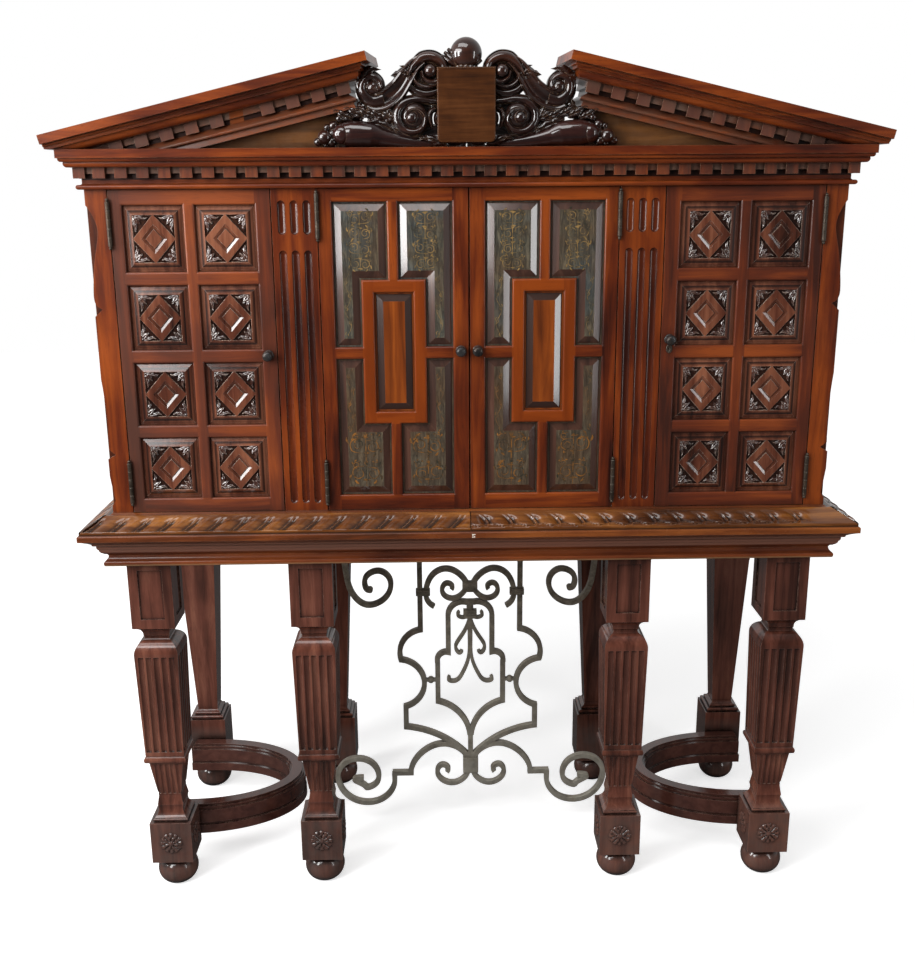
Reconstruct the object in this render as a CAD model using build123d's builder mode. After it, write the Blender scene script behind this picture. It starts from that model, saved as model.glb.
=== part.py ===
"""Vargueno: a four-door cabinet with a broken pediment, on an eight-legged stand with wrought ironwork.

Millimetres, +Z up, front towards -Y. The origin is on the floor under the centre of the footprint.
"""
import os
from math import atan2, cos, degrees, hypot, radians, sin

from build123d import *

os.makedirs("parts", exist_ok=True)

# ---------------------------------------------------------------- driving dimensions
overall_depth = 640  # nosing to back panel
base_half = 850  # half width over the nosing of the base
base_overhang = 64  # nosing beyond the carcass, at the front and both sides

foot_height = 70
stand_height = 840  # underside of the stand top
stand_top_thickness = 23
base_frame_thickness = 46  # moulded frame on the stand top
plinth_thickness = 48  # carved plinth, where the doors start
door_opening_height = 688
cornice_height = 78
board = 22  # sides, partitions and face frame
shelf_board = 18
back_board = 12
frame_pocket = 60  # wall left around the hollow of the base frame and cornice

leg_square = 98
leg_end_inset = 128  # axis of the outer legs inside the nosing
leg_inset = 12  # front of the legs behind the carcass face
fillet_square = 97
shaft_top_square = 100
shaft_bottom_square = 90
neck_square = 56
lower_top_square = 78
lower_bottom_square = 53
flare_square = 66
cap_square = 80
leg_block_height = 163
leg_neck_height = 64  # from the fluted shaft to the top block
bottom_block_top = 176
fillet_bottom_z = 336
fillet_top_z = 353
lower_bottom_z = 240
flute_radius = 7.5
flute_depth = 3.6
flutes_per_face = 5
rear_shaft_square = 54
rear_block_top = 215
foot_radius = 48
foot_base_radius = 30
foot_neck_radius = 33

ring_height = 76
ring_bottom = 86
ring_width = 46
ring_clearance = 19.5  # between the bow of the ring and the inner legs

iron_bar = 13  # width of the wrought bar seen from the front
iron_depth = 14  # depth of the wrought bar, front to back
iron_shift = 7  # the ironwork hangs a little right of the centre
iron_drawn_height = 840  # stand height that the pattern is drawn for

stile_width = 45
pilaster_width = 93
centre_opening = 312  # half width of the two centre doors together
door_thickness = 20
door_gap = 2
meeting_gap = 3
rebate = 6
rebate_depth = 12
panel_clearance = 0.3
frame_bead = 4.5  # rounding round the door openings
panel_flange = 8
panel_bevel = 15
panel_relief = 3
panel_rise = 6

outer_rows = 4
outer_columns = 2
outer_rail = 31
outer_mid_rail = 28
outer_stile_hinge = 26
outer_stile_lock = 32
outer_muntin = 24

centre_stile_hinge = 29
centre_stile_lock = 33
centre_top_rail = 27
centre_bottom_rail = 34
centre_mid_rail = 26
centre_mullion = 23
centre_frame_width = 136
centre_frame_height = 308
centre_panel_border = 27

hinge_length = 90
hinge_knuckle_radius = 4.5
hinge_pin_radius = 2
hinge_fit = 0.05
hinge_leaf = 2
hinge_proud = 5  # pin axis in front of the door face
hinge_ball_radius = 3.4
hinge_top_inset = 23  # barrel below the top of the outer doors
hinge_bottom_inset = 22
knob_radius = 11
knob_length = 26
spindle_radius = 3
knob_edge = 18  # knob centre from the closing edge of the outer doors
knob_rise_left = 345  # pulls and lock above the plinth
knob_rise_right = 371
knob_rise_centre = 351
lock_rise = 351
bolt_length = 26
bolt_width = 16
bolt_thickness = 5
bolt_travel = 7
bolt_clearance = 0.3
bolt_mortise_clearance = 1

dentil_width = 25
dentil_height = 21.5
dentil_front = 15  # dentil faces beyond the carcass
dentil_back = 9  # strip that carries the dentils
dentils_front = 35
dentils_side = 13

rake_angle = 13.3
rake_inner_x = 203
rake_rise = 179  # inner ends above the cornice
rake_splay = 7  # the inner ends are cut askew in plan
rake_front = 62  # corona of the raking cornice beyond the carcass
rake_back = 70  # raking cornice behind the carcass face
rake_dentil_width = 27
rake_dentil_height = 22.5
rake_dentil_pitch = 52.5
rake_dentils = 10
rake_dentil_top = 42.5
missing_dentil = 4  # this one is lost from the left slope
tympanum_thickness = 18
tympanum_setback = 12
tympanum_inner_x = 215

crest_thickness = 28
crest_front = 16  # crest carving in front of the carcass face
crest_offset = -4.5  # the crest stands a little left of the centre
plaque_half = 58.5
plaque_rise = 9  # foot of the plaque above the cornice
plaque_height = 143
plaque_thickness = 10
ball_radius = 29.5
ball_rise = 28.5  # middle of the ball above the plaque
cup_rim_half = 38
cup_foot_half = 25
cup_height = 33

# ---------------------------------------------------------------- derived places
carcass_half = base_half - base_overhang
stand_top_height = stand_height + stand_top_thickness
base_frame_height = stand_top_height + base_frame_thickness
carcass_bottom = base_frame_height + plinth_thickness
face_y = base_overhang - overall_depth / 2
back_y = overall_depth / 2
inner_y = face_y + board  # behind the face frame
rear_y = back_y - back_board  # in front of the back panel
carcass_top = carcass_bottom + door_opening_height
cornice_top = carcass_top + cornice_height
rake_inner_z = cornice_top + rake_rise
rake_outer_x = base_half
plaque_bottom = cornice_top + plaque_rise
plaque_top = plaque_bottom + plaque_height
ball_height = plaque_top + ball_rise
knob_height_left = carcass_bottom + knob_rise_left
knob_height_right = carcass_bottom + knob_rise_right
knob_height_centre = carcass_bottom + knob_rise_centre
lock_height = carcass_bottom + lock_rise
leg_half = leg_square / 2
leg_block_bottom = stand_height - leg_block_height
shaft_top_z = leg_block_bottom - leg_neck_height
front_leg_y = face_y + leg_inset + leg_half
rear_leg_y = back_y - leg_inset - leg_half
mid_leg_y = (front_leg_y + rear_leg_y) / 2
outer_hinge_x = carcass_half - stile_width - door_gap / 2
centre_hinge_x = centre_opening + door_gap / 2
pilaster_inner = centre_opening + door_gap
pilaster_outer = pilaster_inner + pilaster_width
pilaster_x = (pilaster_inner + pilaster_outer) / 2
leg_outer_x = base_half - leg_end_inset
leg_inner_x = pilaster_x
door_bottom = carcass_bottom + door_gap / 2
door_top = carcass_top - door_gap / 2
side_names = ((-1, "left"), (1, "right"))


def save(piece, name):
    """Label a finished piece and write it under its node name."""
    piece.part.label = name
    export_step(piece.part, f"parts/{name}.step")


def save_shape(shape, name):
    """Label and write a copy that was placed outside a builder."""
    shape.label = name
    export_step(shape, f"parts/{name}.step")


def block(x0, x1, y0, y1, z0, z1):
    """One rectangular board between two opposite corners."""
    with BuildPart() as piece:
        with BuildSketch(Plane.XY.offset(z0)):
            with Locations(((x0 + x1) / 2, (y0 + y1) / 2)):
                Rectangle(x1 - x0, y1 - y0)
        extrude(amount=z1 - z0)
    return piece


def bowed_line(points, turn=-1):
    """Lines and arcs through points; a third value is how far the side that ends there bulges."""
    for first, second in zip(points, points[1:]):
        bulge = second[2] if len(second) > 2 else 0
        if bulge:
            SagittaArc(first[:2], second[:2], turn * bulge)
        else:
            Line(first[:2], second[:2])


# ---------------------------------------------------------------- moulded slabs
def moulded_slab(profile, pocket=None):
    """Slab with the same moulding on the front and both sides, and a flat back.

    The profile runs upwards as (projection beyond the carcass, height, bulge) points.
    The pocket is a (bottom, top) pair that hollows the slab inside its wall.
    """
    bottom, top = profile[0][1], profile[-1][1]
    side = [(carcass_half + point[0], *point[1:]) for point in profile]
    front = [(face_y - point[0], *point[1:]) for point in profile]
    with BuildPart() as slab:
        with BuildSketch(Plane.XZ.offset(-back_y)):
            with BuildLine():
                bowed_line(side)
                Polyline(side[-1][:2], (0, top), (0, bottom), side[0][:2])
            make_face()
            mirror(about=Plane.YZ)
        extrude(amount=overall_depth + base_overhang)
        with BuildSketch(Plane.YZ):
            with BuildLine():
                bowed_line(front, 1)
                Polyline(front[-1][:2], (back_y, top), (back_y, bottom), front[0][:2])
            make_face()
        extrude(amount=base_half + base_overhang, both=True, mode=Mode.INTERSECT)
        if pocket:
            with BuildSketch(Plane.XY.offset(pocket[0])):
                with Locations((0, (face_y + back_y) / 2)):
                    Rectangle(
                        2 * (carcass_half - frame_pocket),
                        back_y - face_y - 2 * frame_pocket,
                    )
            extrude(amount=pocket[1] - pocket[0], mode=Mode.SUBTRACT)
    return slab


stand_top = moulded_slab(
    [
        (20, stand_height),
        (23, stand_height + 4, 1),
        (22, stand_height + 11, 1),
        (14, stand_top_height, -2),
    ]
)
save(stand_top, "stand_top")

base_frame = moulded_slab(
    [
        (14, stand_top_height),
        (21, stand_top_height + 6, -1.5),
        (23, stand_top_height + 8),
        (30, stand_top_height + 18, 1.5),
        (33, stand_top_height + 29, 2),
        (37, stand_top_height + 29),
        (41, stand_top_height + 34, 1.5),
        (base_overhang, base_frame_height, -1),
    ],
    pocket=(stand_top_height, base_frame_height),
)
save(base_frame, "base_frame")

carved_plinth = moulded_slab(
    [
        (base_overhang, base_frame_height),
        (base_overhang, base_frame_height + 10),
        (base_overhang - 3, base_frame_height + 13.5, 1),
        (0, carcass_bottom),
    ],
    pocket=(base_frame_height, carcass_bottom - shelf_board),
)
save(carved_plinth, "carved_plinth")

corona_z = cornice_top - 17
strip_top = corona_z - 17.5
cornice = moulded_slab(
    [
        (0, carcass_top),
        (8, carcass_top),
        (9, carcass_top + 9.5, 4),
        (2, carcass_top + 12, -1.5),
        (2, carcass_top + 31),
        (dentil_back, carcass_top + 31),
        (dentil_back, strip_top),
        (24, strip_top),
        (28, corona_z - 7, 2.5),
        (33, corona_z - 7),
        (36, corona_z, 1.5),
        (40, corona_z),
        (40, cornice_top),
    ],
    pocket=(carcass_top, cornice_top - shelf_board),
)
save(cornice, "cornice")

# ---------------------------------------------------------------- dentils under the cornice
dentil_top = strip_top
dentil_z = dentil_top - dentil_height / 2
dentil_thickness = dentil_front - dentil_back
corner_dentil = dentil_front + 9
dentil_pitch = 2 * (carcass_half + dentil_front - corner_dentil - 28) / (dentils_front - 1)
side_start = face_y + corner_dentil
side_pitch = (back_y - dentil_width - side_start) / (dentils_side - 0.5)
with BuildPart() as cornice_dentils:
    front_centre = face_y - dentil_back - dentil_thickness / 2
    with Locations((0, front_centre, dentil_z)):
        with GridLocations(dentil_pitch, 1, dentils_front, 1):
            Box(dentil_width, dentil_thickness, dentil_height)
    for side, _ in side_names:
        corner_x = side * (carcass_half + dentil_front - corner_dentil / 2)
        with Locations((corner_x, front_centre, dentil_z)):
            Box(corner_dentil, dentil_thickness, dentil_height)
        side_x = side * (carcass_half + dentil_back + dentil_thickness / 2)
        for index in range(dentils_side):
            y = side_start + dentil_width / 2 + index * side_pitch
            with Locations((side_x, y, dentil_z)):
                Box(dentil_thickness, dentil_width, dentil_height)
save(cornice_dentils, "cornice_dentils")

# ---------------------------------------------------------------- raking cornices
slope = (cos(radians(rake_angle)), 0, -sin(radians(rake_angle)))
rake_length = (rake_outer_x - rake_inner_x) / slope[0]
rake_plane = Plane(origin=(rake_inner_x, face_y, rake_inner_z), x_dir=(0, -1, 0), z_dir=slope)
elevation_plane = Plane(
    origin=(rake_inner_x, face_y - rake_front, rake_inner_z), x_dir=slope, z_dir=(0, -1, 0)
)
splay_run = (rake_front + rake_back) * sin(radians(rake_splay)) / cos(radians(rake_splay))
rearward = (-sin(radians(rake_splay)), cos(radians(rake_splay)), 0)
# (projection, distance below the top edge square to the slope, bulge)
rake_profile = [
    (rake_front, 0),
    (rake_front, 18),
    (rake_front - 14, 18),
    (rake_front - 18, 23, 2),
    (rake_front - 18, 29),
    (rake_front - 25, 30),
    (rake_front - 37, rake_dentil_top, 3),
    (dentil_back, rake_dentil_top),
    (dentil_back, rake_dentil_top + 13),
    (3, rake_dentil_top + 13),
    (3, rake_dentil_top + rake_dentil_height),
    (15, rake_dentil_top + rake_dentil_height + 10),
    (15, rake_dentil_top + rake_dentil_height + 15.5, 1),
    (8, rake_dentil_top + rake_dentil_height + 17),
    (10, rake_dentil_top + rake_dentil_height + 29),
]
rake_depth = rake_profile[-1][1]

with BuildPart() as raking_cornice:
    with BuildSketch(rake_plane.offset(-2 * splay_run)):
        with BuildLine():
            bowed_line(rake_profile)
            Polyline(
                rake_profile[-1][:2],
                (-rake_back, rake_depth),
                (-rake_back, 0),
                rake_profile[0],
            )
        make_face()
    extrude(amount=rake_length + 2 * splay_run)
    end_profile = [(rake_front - point[0], -point[1], *point[2:]) for point in rake_profile]
    with BuildSketch(elevation_plane):
        with BuildLine():
            bowed_line(end_profile)
            Polyline(
                end_profile[-1][:2],
                (rake_length + 2 * splay_run, -rake_depth),
                (rake_length + 2 * splay_run, 0),
                end_profile[0],
            )
        make_face()
    extrude(
        amount=(rake_front + rake_back) / rearward[1],
        dir=rearward,
        mode=Mode.INTERSECT,
    )
    split(bisect_by=Plane.XY.offset(cornice_top), keep=Keep.TOP)

with BuildPart() as raking_cornice_left:
    mirror(raking_cornice.part, about=Plane.YZ)
save(raking_cornice, "raking_cornice_right")
save(raking_cornice_left, "raking_cornice_left")


def slope_dentils(skipped):
    """Dentils along the right-hand slope, cut off where the slope meets the cornice."""
    first = rake_front - dentil_front + rake_dentil_width / 2
    down = rake_dentil_top + rake_dentil_height / 2
    with BuildPart() as row:
        for index in range(rake_dentils):
            if index == skipped:
                continue
            along = first + index * rake_dentil_pitch
            with BuildSketch(rake_plane.offset(along - rake_dentil_width / 2)):
                with Locations((dentil_back + dentil_thickness / 2, down)):
                    Rectangle(dentil_thickness, rake_dentil_height)
            extrude(amount=rake_dentil_width)
        split(bisect_by=Plane.XY.offset(cornice_top), keep=Keep.TOP)
    return row


with BuildPart() as raking_dentils:
    add(slope_dentils(None).part)
    mirror(slope_dentils(missing_dentil).part, about=Plane.YZ)
save(raking_dentils, "raking_dentils")

under_inner_z = rake_inner_z - rake_depth * slope[0]
under_inner_x = rake_inner_x + rake_depth * slope[2]
fall = -slope[2] / slope[0]
tympanum_top = under_inner_z - (tympanum_inner_x - under_inner_x) * fall
tympanum_outer_x = tympanum_inner_x + (tympanum_top - cornice_top) / fall
with BuildPart() as tympanum_panels:
    with BuildSketch(Plane.XZ.offset(-(face_y + tympanum_setback))):
        Polygon(
            (tympanum_inner_x, cornice_top),
            (tympanum_outer_x, cornice_top),
            (tympanum_inner_x, tympanum_top),
            align=None,
        )
        mirror(about=Plane.YZ)
    extrude(amount=-tympanum_thickness)
save(tympanum_panels, "tympanum_panels")


# ---------------------------------------------------------------- carved crest
def spiral(centre, start_radius, end_radius, start_angle, half_turns, clockwise=False):
    """Points of a volute: half circles whose radius falls from start to end."""
    points = []
    turn = -1 if clockwise else 1
    steps = half_turns * 4
    for step in range(steps + 1):
        share = step / steps
        radius = start_radius + (end_radius - start_radius) * share
        angle = radians(start_angle + turn * share * half_turns * 180)
        points.append((centre[0] + radius * cos(angle), centre[1] + radius * sin(angle)))
    return points


crest_y = face_y - crest_front
# places on the right half, from the middle of the crest and the top of the cornice
volute_upper = (71, 136)
volute_lower = (100, 58)
volute_outer = (178, 113)
horn = (209, 26)
crest_middle = Plane.YZ.offset(crest_offset)
crest_plane = Plane.XZ.offset(-crest_y).shift_origin((crest_offset, crest_y, cornice_top))


def band(points, width, **ends):
    """A strap of even width along a smooth curve through a row of points."""
    with BuildLine() as path:
        Spline(*points, **ends)
    trace(path.edges(), line_width=width)


with BuildPart() as crest_scroll:
    with BuildSketch(crest_plane):
        # post behind the plaque
        with Locations((25, (plaque_top - cornice_top) / 2)):
            Rectangle(50, plaque_top - cornice_top)
        # upper volute and the arm that runs out to the far curl
        with Locations(volute_upper):
            Circle(42)
        band([(80, 159), (107, 137), (134, 113), (162, 91)], 38)
        band(spiral(volute_outer, 28, 22, -125, 1), 20)
        with Locations(volute_outer):
            Circle(20)
        with Locations(Location((181, 138, 0), (0, 0, 25))):
            Ellipse(17, 9)
        with Locations(Location((138, 138, 0), (0, 0, -38))):
            Ellipse(23, 10)
        # lower volute, tied to the post at its head and foot
        with Locations(volute_lower):
            Circle(35)
        with Locations((74, 89)):
            Rectangle(56, 14)
        with Locations((62, 45)):
            Rectangle(40, 40)
        # horn along the foot with its drum, and the berries beyond
        Polygon(
            (45, 0),
            (horn[0], 0),
            (horn[0], 52),
            (176, 50),
            (150, 37),
            (102, 18),
            (45, 17),
            align=None,
        )
        with Locations(horn):
            Circle(26)
        with Locations((200, 59)):
            Rectangle(96, 18)
        with Locations((90, 22)):
            Rectangle(30, 20)
        with Locations((158, 65)):
            Rectangle(50, 26)
        with Locations((255, 29), (268, 15), (280, 31)):
            Circle(12)
        with Locations((287, 17)):
            Circle(15)
        with Locations((255, 10)):
            Rectangle(84, 20)
    extrude(amount=-crest_thickness)
    split(bisect_by=Plane.XY.offset(cornice_top), keep=Keep.TOP)

with BuildPart() as crest_scroll_left:
    mirror(crest_scroll.part, about=crest_middle)
save(crest_scroll, "crest_scroll_right")
save(crest_scroll_left, "crest_scroll_left")

with BuildPart() as plaque:
    with BuildSketch(Plane.XZ.offset(-crest_y)):
        with Locations((crest_offset, (plaque_bottom + plaque_top) / 2)):
            Rectangle(2 * plaque_half, plaque_top - plaque_bottom)
    extrude(amount=plaque_thickness)
    fillet(plaque.edges().filter_by(Axis.Y).group_by(Axis.Z)[0], 10)
    chamfer(plaque.faces().sort_by(Axis.Y)[0].edges(), 1.5)
save(plaque, "plaque")

crown_z = ball_height - 5
crown_half = (ball_radius**2 - (ball_height - crown_z) ** 2) ** 0.5
finial_plane = Plane.XZ.offset(-(crest_y + crest_thickness / 2))
with BuildPart() as finial:
    with BuildSketch(finial_plane):
        with BuildLine():
            foot = Line((0, plaque_top), (cup_foot_half, plaque_top))
            lip = SagittaArc(foot @ 1, (cup_rim_half, plaque_top + cup_height), 2)
            rim = Line(lip @ 1, (crown_half, crown_z))
            pole = (0, ball_height + ball_radius)
            ThreePointArc(rim @ 1, (ball_radius, ball_height), pole)
            Line(pole, (0, plaque_top))
        make_face()
    revolve(axis=Axis((0, crest_y + crest_thickness / 2, 0), (0, 0, 1)))
finial.part = Pos(crest_offset, 0, 0) * finial.part
save(finial, "finial")


# ---------------------------------------------------------------- legs, feet and ring stretchers
def square_turning(profile):
    """Square column that follows (half width, height, bulge) points on all four faces."""
    widest = max(point[0] for point in profile) + 5
    bottom, top = profile[0][1], profile[-1][1]
    axis_points = (profile[-1][:2], (0, top), (0, bottom), profile[0][:2])
    with BuildPart() as column:
        with BuildSketch(Plane.XZ):
            with BuildLine():
                bowed_line(profile)
                Polyline(*axis_points)
            make_face()
            mirror(about=Plane.YZ)
        extrude(amount=widest, both=True)
        with BuildSketch(Plane.YZ):
            with BuildLine():
                bowed_line(profile)
                Polyline(*axis_points)
            make_face()
            mirror(about=Plane.YZ)
        extrude(amount=widest, both=True, mode=Mode.INTERSECT)
    return column


def flute_places(half_bottom, half_top, z_bottom, z_top):
    """Axes of the flutes on the four faces of a tapering square shaft, as (location, length) pairs."""
    places = []
    length = hypot(z_top - z_bottom, half_top - half_bottom)
    lean = degrees(atan2(half_top - half_bottom, z_top - z_bottom))
    middle_half = (half_bottom + half_top) / 2 + flute_radius - flute_depth
    pitch = (half_bottom + half_top) / (flutes_per_face + 0.35)
    for face in range(4):
        for index in range(flutes_per_face):
            offset = (index - (flutes_per_face - 1) / 2) * pitch
            turn = Location((0, 0, 0), (0, 0, 90 * face))
            stand = Location((middle_half, offset, (z_bottom + z_top) / 2), (0, lean, 0))
            places.append(turn * stand)
    return places, length


shaft_foot_z = fillet_top_z + 3
front_profile = [
    (leg_half, foot_height),
    (leg_half, bottom_block_top),
    (cap_square / 2 - 3, bottom_block_top),
    (cap_square / 2 - 3, bottom_block_top + 8, 4),
    (flare_square / 2 + 5, bottom_block_top + 9),
    (lower_bottom_square / 2 + 4, bottom_block_top + 40, -5),
    (lower_bottom_square / 2, lower_bottom_z),
    (lower_top_square / 2, fillet_bottom_z - 6),
    (lower_top_square / 2 + 4, fillet_bottom_z, -1),
    (fillet_square / 2 - 2, fillet_bottom_z),
    (fillet_square / 2 - 2, fillet_top_z - 3, 2.5),
    (shaft_bottom_square / 2, fillet_top_z, -1),
    (shaft_bottom_square / 2, shaft_foot_z),
    (shaft_top_square / 2, shaft_top_z),
    (neck_square / 2 + 2, shaft_top_z + 30, 5),
    (neck_square / 2 + 2, shaft_top_z + 40, -2),
    (leg_half - 4, leg_block_bottom - 2, -5),
    (leg_half, leg_block_bottom),
    (leg_half, stand_height),
]
front_leg = square_turning(front_profile)
block_panel = (leg_square - 44, 118)
rosette_radius = 27
shaft_flutes, shaft_flute_length = flute_places(
    shaft_bottom_square / 2, shaft_top_square / 2, shaft_foot_z, shaft_top_z
)
lower_flutes, lower_flute_length = flute_places(
    lower_bottom_square / 2, lower_top_square / 2, lower_bottom_z, fillet_bottom_z - 4
)
with front_leg:
    with Locations(*shaft_flutes):
        Cylinder(flute_radius, shaft_flute_length - 14, mode=Mode.SUBTRACT)
    lower_flute_radius = flute_radius * 0.7
    with Locations(*lower_flutes):
        Cylinder(lower_flute_radius, lower_flute_length - 8, mode=Mode.SUBTRACT)
    for face in range(4):
        turned = Plane.XY.rotated((0, 0, 90 * face))
        normal = turned.x_dir
        outward = Plane(origin=normal * leg_half, x_dir=turned.y_dir, z_dir=normal)
        with BuildSketch(outward) as recess:
            with Locations((0, (leg_block_bottom + stand_height) / 2)):
                Rectangle(*block_panel)
        extrude(recess.sketch, amount=-3, mode=Mode.SUBTRACT)
        with BuildSketch(outward) as ring_groove:
            with Locations((0, (foot_height + bottom_block_top) / 2)):
                Circle(rosette_radius)
                Circle(rosette_radius - 12, mode=Mode.SUBTRACT)
        extrude(ring_groove.sketch, amount=-2, mode=Mode.SUBTRACT)

rear_profile = [
    (leg_half, foot_height),
    (leg_half, rear_block_top),
    (cap_square / 2, rear_block_top),
    (cap_square / 2, rear_block_top + 10, 4),
    (flare_square / 2, rear_block_top + 10),
    (flare_square / 2, rear_block_top + 18, 3),
    (rear_shaft_square / 2, rear_block_top + 30, -3),
    (leg_half - 2, leg_block_bottom - 14),
    (leg_half, leg_block_bottom),
    (leg_half, stand_height),
]
rear_leg = square_turning(rear_profile)
leg_places = [
    (side * x, place, name)
    for side, name in side_names
    for x, place in ((leg_outer_x, "outer"), (leg_inner_x, "inner"))
]
for x, place, name in leg_places:
    save_shape(Pos(x, front_leg_y, 0) * front_leg.part, f"leg_front_{place}_{name}")
    save_shape(Pos(x, rear_leg_y, 0) * rear_leg.part, f"leg_rear_{place}_{name}")

with BuildPart() as bun_foot:
    with BuildSketch(Plane.XZ):
        with BuildLine():
            floor_line = Line((0, 0), (foot_base_radius, 0))
            bulge = ThreePointArc(floor_line @ 1, (foot_radius, 36), (foot_neck_radius, 62))
            neck = Line(bulge @ 1, (foot_neck_radius, foot_height))
            Polyline(neck @ 1, (0, foot_height), (0, 0))
        make_face()
    revolve(axis=Axis.Z)
with BuildPart() as bun_feet:
    for x, _, _ in leg_places:
        for y in (front_leg_y, rear_leg_y):
            add(Pos(x, y, 0) * bun_foot.part)
save(bun_feet, "bun_feet")

ring_front_y = front_leg_y + leg_half
ring_rear_y = rear_leg_y - leg_half
ring_half_depth = (ring_rear_y - ring_front_y) / 2
ring_centre_x = leg_outer_x - leg_half + 30
ring_end_x = leg_outer_x + leg_half - 10
ring_reach = ring_centre_x - leg_inner_x - leg_half - ring_clearance


def ring_plan(inset):
    """Bowed plan of the stretcher: straight arms behind the outer legs and a half ellipse between."""
    outer_b = ring_half_depth - inset
    inner_b = ring_half_depth - ring_width + inset
    outer_a = ring_reach - inset
    inner_a = ring_reach - ring_width + inset
    end_x = ring_end_x - inset
    centre = (ring_centre_x, mid_leg_y)
    with BuildLine() as plan:
        outer = EllipticalCenterArc(centre, outer_a, outer_b, 90, arc_size=180)
        inner = EllipticalCenterArc(centre, inner_a, inner_b, 90, arc_size=180)
        Polyline(outer @ 0, (end_x, mid_leg_y + outer_b), (end_x, mid_leg_y + inner_b), inner @ 0)
        Polyline(outer @ 1, (end_x, mid_leg_y - outer_b), (end_x, mid_leg_y - inner_b), inner @ 1)
    make_face(plan.edges())


# (bottom, top, inset) of the courses of the ring's moulding
ring_courses = ((0, 22, 0), (22, 28, 4), (28, 62, 2), (62, 70, 6), (70, ring_height, 10))
with BuildPart() as ring_stretcher:
    for low, high, inset in ring_courses:
        with BuildSketch(Plane.XY.offset(ring_bottom + low)):
            ring_plan(inset)
        extrude(amount=high - low)
with BuildPart() as ring_stretcher_left:
    mirror(ring_stretcher.part, about=Plane.YZ)
save(ring_stretcher, "ring_stretcher_right")
save(ring_stretcher_left, "ring_stretcher_left")


# ---------------------------------------------------------------- wrought ironwork
iron_plane = Plane(
    origin=(iron_shift, mid_leg_y - iron_depth / 2, 0), x_dir=(1, 0, 0), z_dir=(0, -1, 0)
)


def iron_half(draw):
    """A wrought piece drawn once on the right and mirrored to the left."""
    with BuildPart() as work:
        with BuildSketch(iron_plane):
            draw()
            mirror(about=Plane.YZ)
        extrude(amount=-iron_depth)
    return work


def drawn(*points):
    """Points of the pattern, stretched to the height of the stand."""
    return [(x, z * stand_height / iron_drawn_height) for x, z in points]


def draw_frame():
    """Outer frame with its bowed waist, and the inner lyre that shares its stem."""
    with BuildLine() as outline:
        Line(*drawn((127, iron_drawn_height), (127, 552)))
        ThreePointArc(*drawn((127, 552), (164, 532), (178, 470)))
        ThreePointArc(*drawn((178, 470), (119, 409), (168, 338)))
        Line(*drawn((168, 338), (168, 280)))
        ThreePointArc(*drawn((168, 280), (86, 256), (4, 192)))
    trace(outline.edges(), line_width=iron_bar)
    with BuildLine() as lyre:
        ThreePointArc(*drawn((10, 626), (44, 617), (56, 590)))
        Line(*drawn((56, 590), (56, 489)))
        ThreePointArc(*drawn((56, 489), (77, 484), (84, 460)))
        Line(*drawn((84, 460), (84, 352)))
        ThreePointArc(*drawn((84, 352), (32, 322), (2, 255)))
    trace(lyre.edges(), line_width=iron_bar)
    with Locations(*drawn((0, 222))):
        Rectangle(iron_bar, 80)
    with Locations(*drawn((0, 626))):
        Rectangle(26, iron_bar)
    with Locations(*drawn((102, 412))):
        Circle(iron_bar / 2 + 1)
        Rectangle(32, iron_bar / 2)


def draw_arches():
    """Two arches under the stand top with inner curls, bound by collars."""
    band(drawn((112, 645), (106, 680), (88, 706), (61, 716), (30, 704), (6, 668)), iron_bar)
    band(drawn((112, 650), (106, 628), (91, 615)), iron_bar * 0.9)
    curl = drawn((8, 668), (20, 648), (44, 636), (66, 646), (70, 664), (58, 677), (45, 670), (47, 661))
    band(curl, iron_bar * 0.85)
    with Locations(*drawn((0, 668))):
        Rectangle(36, 26)
    with Locations(*drawn((119, 654))):
        Rectangle(36, 16)


def draw_top_scroll():
    """Scroll that hangs from the stand top beside the inner leg."""
    hook = drawn((317, iron_drawn_height), (317, 770), (311, 700), (296, 650), (263, 622), (227, 630))
    curl = drawn((202, 662), (204, 694), (227, 712), (254, 705), (266, 683), (253, 662))
    band(hook + curl, iron_bar, tangents=((0, -1), (-1, 0.3)))
    with Locations(curl[-1]):
        Circle(iron_bar / 2 + 1)


def draw_bottom_scroll():
    """Arches from the foot of the stem out to the two end volutes, with small curls under the knot."""
    band(drawn((6, 184), (28, 214), (71, 229), (120, 211), (158, 150)), iron_bar)
    with Locations(*drawn((179, 146))):
        Rectangle(56, iron_bar)
    sweep_out = drawn((202, 146), (203, 112), (224, 78), (268, 60), (315, 72), (346, 110), (350, 150))
    volute = drawn(
        (330, 179), (294, 189), (259, 174), (244, 143), (254, 113), (276, 104), (291, 117), (284, 132)
    )
    band(sweep_out + volute, iron_bar, tangents=((0, -1), (-1, 0)))
    curl = drawn((6, 156), (18, 128), (48, 114), (78, 126), (88, 150), (76, 167), (61, 161), (63, 147))
    band(curl, iron_bar * 0.9)
    with Locations(*drawn((0, 168))):
        Rectangle(36, 42)


def draw_pendant():
    """Lily, cross piece and leafy tendrils inside the lyre."""
    with Locations(*drawn((0, 594))):
        Rectangle(32, 22)
    with Locations(*drawn((0, 612))):
        Rectangle(12, 16)
    band(drawn((8, 590), (20, 584), (31, 590), (27, 600)), 7)
    band(drawn((0, 588), (6, 565), (18, 540), (32, 518), (37, 500), (28, 487), (21, 493)), 8)
    band(drawn((0, 580), (2, 520), (6, 465), (20, 430), (42, 408), (56, 412), (53, 421)), 8)


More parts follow.
